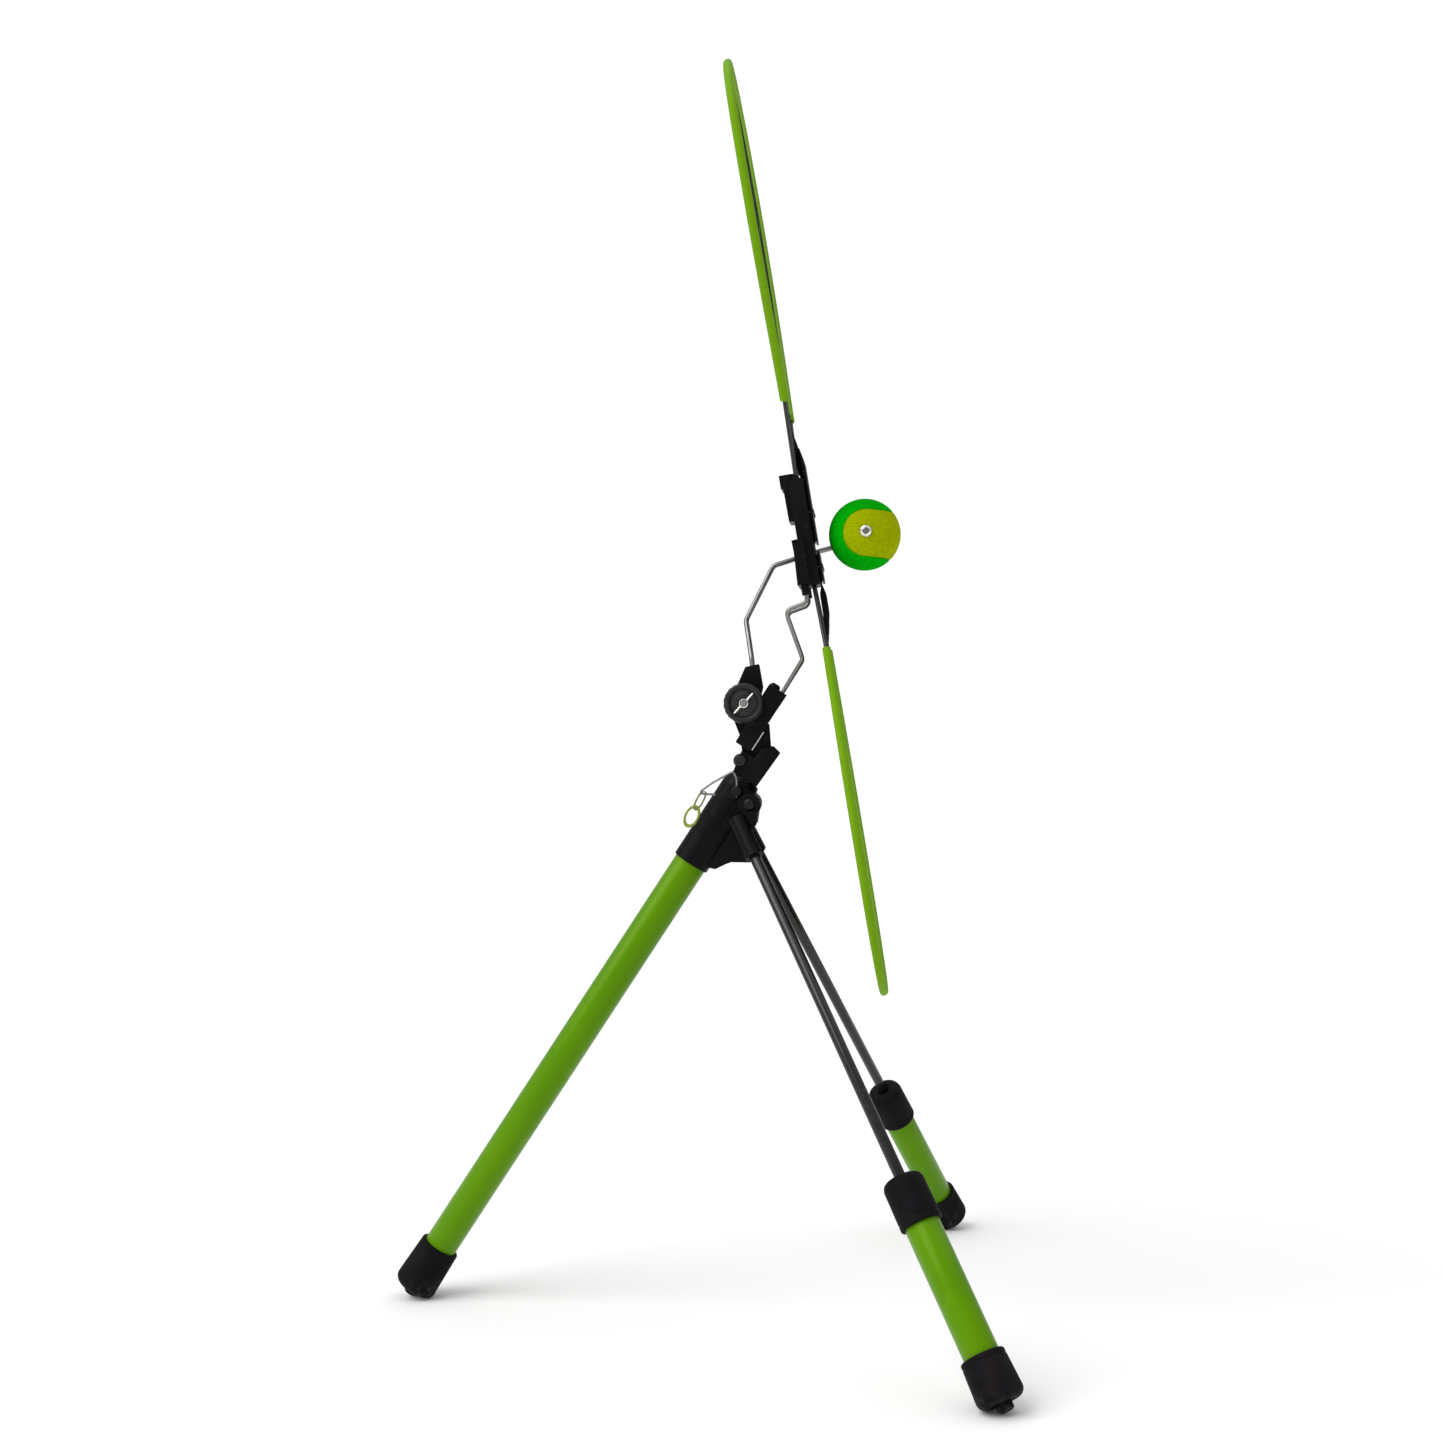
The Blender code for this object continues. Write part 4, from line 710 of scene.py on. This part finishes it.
flange = BALL_RADIUS + 1.9 * MM
stop_foot, stop_top = flange + FIT, flange + 1.1 * MM
washer_ring = [(AXLE_BORE, stop_foot), (5 * MM, stop_foot), (5 * MM, stop_top), (AXLE_BORE, stop_top)]
push_nut = [(AXLE_BORE, flange + 1.4 * MM), (2.9 * MM, flange + 2 * MM), (3.5 * MM, flange + 2 * MM)]
push_nut += [(4.1 * MM, stop_top), (4.9 * MM, flange + 0.9 * MM)]
push_nut += [(4.9 * MM, stop_foot), (AXLE_BORE, stop_foot)]
for stop_name, profile, facing, replaced in (
    ("axle_washer_ring", washer_ring, LEFT, "axle_washer"),
    ("axle_push_on_nut", push_nut, -LEFT, "axle_push_nut"),
):
    stop_bm = lathe(eased(profile, 0.25 * MM), BALL_CENTRE, facing, 48)
    piece_of(stop_bm, stop_name, "ball_arm_unit", BRIGHT, [replaced])


# Ball: two shaped panels of woollen felt, one green and one lime yellow, glued on a hollow rubber core, with
# a sunk seam where they meet. A flanged nylon bush runs through both poles on the axle.
# A panel is every point within 41.5 degrees of an arc that reaches 87.5 degrees to each side of its neck.
PANEL_TILT = math.radians(4)
PANEL_REACH = math.radians(87.5)
PANEL_HALF = math.cos(math.radians(41.5))
SEAM_DEPTH = 0.75 * MM
neck_way = Vector((math.cos(PANEL_TILT), 0, -math.sin(PANEL_TILT)))
lobe_way = Vector((math.sin(PANEL_TILT), -0.015, math.cos(PANEL_TILT))).normalized()
side_way = lobe_way.cross(neck_way).normalized()
FELT_BORE = 4.6 * MM
FELT_STEPS = 190
bore_angle = math.asin(FELT_BORE / BALL_RADIUS)
felt = [(FELT_BORE, -20 * MM)]
for step in range(FELT_STEPS + 1):
    angle = bore_angle + (math.pi - 2 * bore_angle) * step / FELT_STEPS
    felt.append((BALL_RADIUS * math.sin(angle), -BALL_RADIUS * math.cos(angle)))
felt += [(FELT_BORE, 20 * MM), (FELT_BORE, 0)]
felt_bm = lathe(felt, BALL_CENTRE, LEFT, 240)
for vert in felt_bm.verts:
    arm = vert.co - BALL_CENTRE
    if arm.length < BALL_RADIUS - 0.5 * MM:
        continue
    outward = arm.normalized()
    neck, lobe_side = outward.dot(neck_way), abs(outward.dot(side_way))
    past_end = math.atan2(lobe_side, neck) > PANEL_REACH
    end_reach = neck * math.cos(PANEL_REACH) + lobe_side * math.sin(PANEL_REACH)
    panel = (end_reach if past_end else math.hypot(neck, lobe_side)) - PANEL_HALF
    seam = max(0, 1 - (panel / 0.02) ** 2)
    tufts = noise.noise(outward * 46) * 0.1 + noise.noise(outward * 120) * 0.13
    vert.co += outward * (MM * (tufts - 0.1) - SEAM_DEPTH * seam)
felt_finish = Finish("green_felt", Specular_IOR_Level=0.02)
spot = felt_finish.place.vector("SUBTRACT", tuple(BALL_CENTRE)).vector("NORMALIZE")
neck_share = spot.vector("DOT_PRODUCT", tuple(neck_way), output=1)
side_share = spot.vector("DOT_PRODUCT", tuple(side_way), output=1).math("ABSOLUTE")
past_mask = (side_share * math.cos(PANEL_REACH) - neck_share * math.sin(PANEL_REACH)) > 0
round_reach = neck_share * math.cos(PANEL_REACH) + side_share * math.sin(PANEL_REACH)
belt_reach = (neck_share * neck_share + side_share * side_share).math("SQRT")
panel_field = past_mask * round_reach + (1 - past_mask) * belt_reach - PANEL_HALF
fibres = felt_finish.place.noise(1500, 4, (1, 0.35, 1))
curls = felt_finish.place.noise(420, 5)
panel_mask = (panel_field + curls * 0.012 - 0.006).between(-0.006, 0.006)
nap = (fibres * 0.55 + curls * 0.45).between(0.34, 0.66)
green = nap.mix((0.0, 0.29, 0.001), (0.0, 0.46, 0.003))
yellow = nap.mix((0.235, 0.31, 0.0), (0.41, 0.47, 0.001))
felt_colour = panel_mask.mix(green, yellow)
# Painted shade: along the sunk seam's groove the felt colour is darkened towards a dark green.
seam_painted_shade = panel_field.math("ABSOLUTE").between(0.018, 0.0) * 0.4
felt_colour = seam_painted_shade.mix(felt_colour, (0.03, 0.1, 0.004))
felt_finish.feed(Base_Color=felt_colour, Roughness=curls * 0.12 + 0.86)
felt_finish.bump(fibres * 0.6 + curls * 0.4, 0.7, 0.5 * MM)
piece_of(felt_bm, "felt_cover", "ball", felt_finish.material, ["ball_felt"], 60)
core_finish = Finish("ball_rubber", Specular_IOR_Level=0.3)
core_clouds = core_finish.place.noise(80, 4)
core_red = core_clouds.between(0.4, 0.6).mix((0.22, 0.055, 0.02), (0.3, 0.09, 0.035))
core_finish.feed(Base_Color=core_red, Roughness=core_clouds * 0.2 + 0.6)
core_finish.bump(core_finish.place.noise(900, 2), 0.2, 0.1 * MM)
keep("ball_core", core_finish.material)
BUSH_BORE = 2.7 * MM
bush_end = [(BUSH_BORE, 35 * MM), (5.2 * MM, 34.9 * MM), (5.4 * MM, 33.6 * MM), (4 * MM, 33.6 * MM)]
bush = [(BUSH_BORE, -33.6 * MM), (BUSH_BORE, 33.6 * MM), *bush_end]
bush += [(radius, -far) for radius, far in reversed(bush_end)]
piece_of(lathe(bush, BALL_CENTRE, LEFT, 48), "ball_axle_bush", "ball", NYLON, ["ball_bush"])


# Fork: two thin steel wires in the lower clamp, bent forward and spread to the screen's hub, which they
# carry by two plain sockets, so that the screen lifts off.
SCREEN_MIDDLE = Vector((107.7 * MM, 0, 698 * MM))
SCREEN_UP = Vector(joints["screen_lift"]["axis"])
SCREEN_OUT = LEFT.cross(SCREEN_UP)
SCREEN_YAW = math.radians(2.05)
screen_turn = Matrix.Rotation(-SCREEN_YAW, 3, SCREEN_UP)
FORK_OUT = -8.6 * MM
FORK_SPREAD = 25 * MM


def on_screen(up, out=0.0, y=0.0):
    """A point at a distance up the screen, out of its plane and to the left."""
    return SCREEN_MIDDLE + screen_turn @ (SCREEN_UP * up + SCREEN_OUT * out + LEFT * y)


leg_across = Vector((LEG_DIR.z, 0, -LEG_DIR.x))
for side_name, side in (("left", 1), ("right", -1)):
    clamp_y = -5 * MM + side * 3.6 * MM
    clamped_at = LEG_FOOT + LEFT * clamp_y - leg_across * 15 * MM
    prong = [clamped_at + LEG_DIR * far * MM for far in (655, 670)]
    prong.append(Vector((102.1 * MM, side * 16 * MM, 596.4 * MM)))
    prong.append(Vector((86.1 * MM, side * FORK_SPREAD, 640.5 * MM)))
    prong += [on_screen(up * MM, FORK_OUT, side * FORK_SPREAD) for up in (-49, -14)]
    prong_bm = wire_along(bend_through(prong, 6 * MM), 2 * MM)
    piece_of(prong_bm, f"fork_prong_{side_name}", "fork_unit", WIRE, [f"fork_wire_{side_name}"])


# Screen's hub: a stepped nylon block that takes both poles' ends and the fork, with two front plates that
# hold the nets' inner ends. Each plate has two black screws with cross slots.
moulded("screen_hub", "screen_hub_block", "screen", PLASTIC, 0.8 * MM)
SCREW_SPREAD = 17 * MM
SCREW_RADIUS = 1.2 * MM
SCREW_HEAD = 2.8 * MM
SCREW_SEAT = 9.8 * MM
SCREW_RINGS = 22
SLOT_HALF_WIDTH, SLOT_HALF_LENGTH, SLOT_DEPTH = 0.34 * MM, 1.9 * MM, 0.7 * MM
screen_front, screen_left = screen_turn @ SCREEN_OUT, screen_turn @ LEFT
screw = [(0, -0.5 * MM), (SCREW_RADIUS, -0.5 * MM), (SCREW_RADIUS, SCREW_SEAT), (SCREW_HEAD, SCREW_SEAT)]
screw.append((SCREW_HEAD, SCREW_SEAT + 0.5 * MM))
for ring in range(1, SCREW_RINGS + 1):
    share = ring / SCREW_RINGS
    screw.append((SCREW_HEAD * (1 - share), SCREW_SEAT + 1.2 * MM * math.sin(0.5 + share * 1.07)))
for plate, plate_middle in (("upper", 33 * MM), ("lower", -18 * MM)):
    moulded(f"{plate}_net_plate", f"{plate}_front_plate", "screen", PLASTIC, 0.5 * MM)
    for side_name, side in (("left", 1), ("right", -1)):
        screw_foot = on_screen(plate_middle, 0, side * SCREW_SPREAD)
        screw_bm = lathe(screw, screw_foot, screen_front, 64)
        for vert in screw_bm.verts:
            arm = vert.co - screw_foot
            offsets = sorted((abs(arm.dot(SCREEN_UP)), abs(arm.dot(screen_left))))
            in_slot = offsets[0] < SLOT_HALF_WIDTH and offsets[1] < SLOT_HALF_LENGTH
            if in_slot and arm.dot(screen_front) > SCREW_SEAT + 0.6 * MM:
                vert.co -= screen_front * SLOT_DEPTH
        piece_of(
            screw_bm, f"{plate}_screw_{side_name}", "screen", BLACK_PAINT,
            [f"{plate}_plate_screw_{side_name}"],
        )


# Screen loops: each is a thin black fibreglass pole bent round with both ends in the hub, a lime webbing
# sleeve sewn on its outer part, and a black knitted net stretched inside and tucked under the front plate.
POLE_RADIUS = 2 * MM
SLEEVE_RADIUS = 3.9 * MM
SLEEVE_STEP = 20


def half_loop(root, sleeve, widest, tip, crown):
    """One side of a loop as (y, up) points, from its root in the hub past its widest point to its tip."""
    rise = widest[1] - sleeve[1]
    slant = ((widest[0] - sleeve[0]) / 2, rise * 0.375)
    bend = 0.36
    knots = [
        (root, None, (root[0] + 4 * MM, root[1] + (sleeve[1] - root[1]) / 3)),
        (
            sleeve, (sleeve[0] - slant[0] * bend, sleeve[1] - slant[1] * bend),
            (sleeve[0] + slant[0], sleeve[1] + slant[1]),
        ),
        (widest, (widest[0], widest[1] - rise / 2), (widest[0], widest[1] + (tip - widest[1]) * crown)),
        ((0, tip), (widest[0] * (crown + 0.1), tip), None),
    ]
    points = []
    for (start, _, leave), (end, arrive, _) in zip(knots, knots[1:]):
        corners = [Vector((*pair, 0)) for pair in (start, leave, arrive, end)]
        piece = interpolate_bezier(*corners, SLEEVE_STEP + 1)
        points += piece if not points else piece[1:]
    return [(point.x, point.y) for point in points]


def pole_out(up):
    """How far in front of the screen's plane a pole lies: flat in its sleeve, drawn back towards the hub."""
    root, far = (40 * MM, 131 * MM) if up > 0 else (12 * MM, 94 * MM)
    share = min(1.0, max(0.0, (abs(up) - root) / (far - root)))
    return MM * (3 * share - 1.5)


def net_out(up, across):
    """How far the net is pushed forward by the hub's plate: gathered there, flat past the sleeve's ends.

    In millimetres: where the plate ends, where the net is held and where it lies flat, then the depth of
    its gather and how far its edges are drawn back.
    """
    plate, held, flat, gather, drawn = (63, 86, 126, 0.9, 4.6) if up > 0 else (34, 56, 108, 2.4, 0.8)
    far = abs(up) / MM
    share = min(1.0, max(0.0, (flat - far) / (flat - held)))
    pushed = 5 * (3 * share**2 - 2 * share**3)
    free = min(1.0, max(0.0, (far - plate) / 9)) * min(1.0, pushed / 5)
    pleats = gather * free * math.cos(across * 3.5 * math.pi)
    return MM * (1.5 + pushed + pleats - drawn * free * across**2)


def sleeve_section(angle):
    """A sleeve's section: round over the pole, drawn out to a flat sewn edge towards the net."""
    tail = max(0.0, (math.cos(angle) - 0.72) / 0.28)
    outside = SLEEVE_RADIUS + 0.12 * MM * math.sin(3 * angle)
    thickness = outside * math.sin(angle) * (1 - 0.55 * tail)
    return Vector((outside * math.cos(angle) + 8 * MM * tail, thickness, 0))


webbing = Finish("lime_webbing", Specular_IOR_Level=0.1, Sheen_Weight=0.05, Sheen_Roughness=0.5)
THREAD = 0.62 * MM
STITCH = 3.2 * MM
along_share = webbing.uv.node("ShaderNodeSeparateXYZ", {}, {"Vector": webbing.uv})
around_share = webbing.uv.node("ShaderNodeSeparateXYZ", {}, {"Vector": webbing.uv}, 1)
warp = (along_share * (math.pi / THREAD)).math("SINE")
weft = (around_share * (math.pi / THREAD)).math("SINE")
threads = (warp * weft).between(-0.6, 0.6)
patches = webbing.place.noise(24, 4)
soil = webbing.place.noise(150, 4).between(0.55, 0.75)
web_shade = (threads * 0.55 + patches * 0.45).between(0.2, 0.8)
web_colour = web_shade.mix((0.115, 0.285, 0.0005), (0.2, 0.4, 0.002))
web_colour = (soil * 0.12).mix(web_colour, (0.08, 0.14, 0.01))
circumference = 2 * math.pi * SLEEVE_RADIUS
near_edge = ((around_share / circumference + 0.5).math("FRACT") - 0.5).math("ABSOLUTE")
stitch_line = near_edge.between(0.094, 0.088) * near_edge.between(0.066, 0.072)
stitch_run = (along_share / STITCH).math("FRACT").between(0.30, 0.24)
stitches = stitch_line * (1 - stitch_run)
web_colour = (stitches * 0.85).mix(web_colour, (0.3, 0.55, 0.02))
webbing.feed(Base_Color=web_colour, Roughness=0.68 + patches * 0.18)
webbing.bump(threads * 0.6 + stitches * 0.8, 0.55, 0.25 * MM)

knit = Finish("black_mesh", Specular_IOR_Level=0.05)
CELL = 2.2 * MM
across_net = knit.uv.node("ShaderNodeSeparateXYZ", {}, {"Vector": knit.uv})
up_net = knit.uv.node("ShaderNodeSeparateXYZ", {}, {"Vector": knit.uv}, 1)
cord_masks = []
for mixed in (across_net + up_net, across_net - up_net):
    lane = (mixed / CELL).math("FRACT") - 0.5
    cord_masks.append(lane.math("ABSOLUTE"))
nearest = cord_masks[0].math("MAXIMUM", cord_masks[1])
binding = up_net.math("ABSOLUTE").between(67 * MM, 65.5 * MM)
cord_mask = nearest.between(0.19, 0.24).math("MAXIMUM", binding)
fuzz = knit.place.noise(1800, 2)
wear = knit.place.noise(14, 4)
knit_shade = (fuzz * 0.5 + wear * 0.5).between(0.35, 0.65)
knit_colour = knit_shade.mix((0.004, 0.0038, 0.0045), (0.011, 0.0105, 0.0115))
knit.feed(Base_Color=knit_colour, Roughness=0.7 + wear * 0.2, Alpha=cord_mask)
knit.bump(nearest + fuzz * 0.2, 0.6, 0.3 * MM)

upper_half = half_loop((12 * MM, 40 * MM), (61.7 * MM, 131 * MM), (174 * MM, 342 * MM), 443.7 * MM, 0.48)
lower_half = half_loop((12 * MM, -12 * MM), (35.4 * MM, -94 * MM), (96 * MM, -303 * MM), -413.9 * MM, 0.54)
for loop_name, half, start_up, net_columns, flat_size in (
    ("upper", upper_half, 5.5 * MM, 56, (339 * MM, 433 * MM)),
    ("lower", lower_half, -5.5 * MM, 36, (183 * MM, 403 * MM)),
):
    left_side = [on_screen(up, pole_out(up), y) for y, up in half]
    right_side = [on_screen(up, pole_out(up), -y) for y, up in half]
    inside = screen_turn @ -LEFT
    pole_bm = wire_along(left_side + right_side[-2::-1], POLE_RADIUS, 16)
    piece_of(
        pole_bm, f"{loop_name}_loop_pole", "screen", BLACK_PAINT, [f"{loop_name}_pole"]
    )
    sleeve_line = left_side[SLEEVE_STEP:] + right_side[-2 : SLEEVE_STEP - 1 : -1]
    sleeve_bm = wire_along(sleeve_line, SLEEVE_RADIUS, 28, inside, sleeve_section)
    sleeve = piece_of(
        sleeve_bm, f"{loop_name}_loop_sleeve", "screen", webbing.material,
        [f"{loop_name}_sleeve"], 80,
    )
    way = 1 if start_up > 0 else -1
    inset = SLEEVE_RADIUS + 1.2 * MM
    rows = [(13 * MM, start_up), (13 * MM, start_up * 3), (13.2 * MM, start_up * 5)]
    for before, here, after in zip(half[4:], half[5:], half[6:]):
        across = Vector((after[1] - before[1], before[0] - after[0])).normalized() * -way * inset
        if abs(here[1] + across.y) > abs(rows[-1][1]) + 2.4 * MM:
            rows.append((max(13.2 * MM, here[0] + across.x), here[1] + across.y))
    rows.append((0, half[-1][1] - way * inset))
    net_bm = bmesh.new()
    net_uv = net_bm.loops.layers.uv.new("net")
    bmesh.ops.create_grid(net_bm, x_segments=net_columns, y_segments=len(rows) - 1, size=1)
    flat_place = {}
    area = sum((a[0] + b[0]) * abs(b[1] - a[1]) for a, b in zip(rows, rows[1:]))
    for vert in net_bm.verts:
        half_width, up = rows[round((vert.co.y + 1) / 2 * (len(rows) - 1))]
        y = vert.co.x * half_width
        slack = 1 - min(1.0, abs(up) / (150 * MM))
        ripple = 0.5 * MM * math.sin(y * 620) * slack * (1 - vert.co.x**2)
        belly = 1.6 * MM * (1 - vert.co.x**2) * math.sin(math.pi * min(1.0, abs(up) / abs(rows[-1][1])))
        loose = 0 if abs(up) < 66 * MM else ripple - belly
        flat_place[vert] = (y, up)
        vert.co = on_screen(up, net_out(up, vert.co.x) + loose, y)
    for face in net_bm.faces:
        for corner in face.loops:
            corner[net_uv].uv = flat_place[corner.vert]
    net = piece_of(
        net_bm, f"{loop_name}_loop_net", "screen", knit.material, [f"{loop_name}_net"]
    )
    thick = net.modifiers.new("thread thickness", "SOLIDIFY")
    thick.thickness = 0.7 * MM
    thick.offset = 0


# Lock pin: a plated steel pin through the hub and the post's slot, with a groove in its head. A sprung wire
# clip through the head hooks over the hub, and carries a split ring and a small olive plastic link.
LOCK_PIN = LEG_FOOT + LEG_DIR * 566 * MM
lock = [(0, -27 * MM), (4 * MM, -27 * MM), (4.8 * MM, -26 * MM), (4.8 * MM, -25 * MM)]
lock += [(4.4 * MM, -24.6 * MM), (4.4 * MM, -22.6 * MM), (4.8 * MM, -22.2 * MM), (4.8 * MM, -20 * MM)]
lock += [(3 * MM, -20 * MM), (3 * MM, 19 * MM), (1.8 * MM, 21 * MM), (0, 21 * MM)]
lock_bm = lathe(eased(lock, 0.4 * MM), LOCK_PIN, LEFT, 48)
piece_of(lock_bm, "lock_pin_turned", "lock_pin", BLACKED, ["lock_pin"])
RING_TOP = Vector(joints["ring_swing"]["pos_m"])
CLIP_Y = RING_TOP.y
clip_route = [
    Vector((x, CLIP_Y, z))
    for x, z in (
        (LOCK_PIN.x, LOCK_PIN.z - 5.5 * MM), (LOCK_PIN.x, LOCK_PIN.z + 12 * MM), (38.5 * MM, 493 * MM),
        (30.2 * MM, 488.3 * MM), (19.9 * MM, 482.6 * MM), (5.5 * MM, 472.4 * MM), (22.5 * MM, 471.4 * MM),
    )
]
clip_bm = wire_along(bend_through(clip_route, 2.3 * MM), MM, 16)
piece_of(clip_bm, "lock_pin_clip", "pin_clip", WIRE, ["pin_clip"])
RING_RADIUS = 9.5 * MM
RING_STEEL = steel("ring_steel", (0.3, 0.34, 0.13), 0.3)
ring_way = Vector(joints["ring_swing"]["axis"])
hang = (Vector(joints["link_swing"]["pos_m"]) - RING_TOP).normalized()
ring_normal = ring_way.cross(hang)
ring_centre = RING_TOP + hang * RING_RADIUS
ring_line = []
for step in range(2 * 60 - 6):
    turn = step / 60 * 2 * math.pi
    spread = (step / 60 - 0.95) * 0.9 * MM
    reach = -hang * math.cos(turn) + ring_way * math.sin(turn)
    ring_line.append(ring_centre + reach * RING_RADIUS + ring_normal * spread)
piece_of(wire_along(ring_line, 0.44 * MM, 12), "clip_split_ring", "ring", RING_STEEL, ["split_ring"])
link_low, link_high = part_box("ring_link")
link_centre = (link_low + link_high) / 2
link_half_width, link_half_height, link_wire = 6 * MM, 9.5 * MM, 1.1 * MM
olive = Finish("olive_plastic", Specular_IOR_Level=0.4)
olive_clouds = olive.place.noise(260, 4)
olive.feed(
    Base_Color=olive_clouds.between(0.35, 0.65).mix((0.17, 0.23, 0.02), (0.28, 0.36, 0.05)),
    Roughness=0.34 + olive_clouds * 0.2,
)
olive.bump(olive.place.noise(2000, 2), 0.2, 0.08 * MM)
link_bm = bmesh.new()
link_ring = bmesh.ops.create_circle(link_bm, segments=20, radius=link_wire)["verts"]
bmesh.ops.rotate(link_bm, verts=link_ring, cent=(0, 0, 0), matrix=Matrix.Rotation(math.pi / 2, 3, "X"))
bmesh.ops.translate(link_bm, verts=link_ring, vec=(link_half_width, 0, 0))
bmesh.ops.spin(
    link_bm, geom=link_bm.verts[:] + link_bm.edges[:], axis=(0, 0, 1), cent=(0, 0, 0),
    angle=2 * math.pi, steps=72, use_merge=True,
)
bmesh.ops.scale(link_bm, verts=link_bm.verts, vec=(1, link_half_height / link_half_width, 1))
link_turn = Matrix((ring_way.cross(hang), hang, -ring_way)).transposed().to_4x4()
bmesh.ops.transform(link_bm, matrix=Matrix.Translation(link_centre) @ link_turn, verts=link_bm.verts)
piece_of(link_bm, "clip_link", "link", olive.material, ["ring_link"])
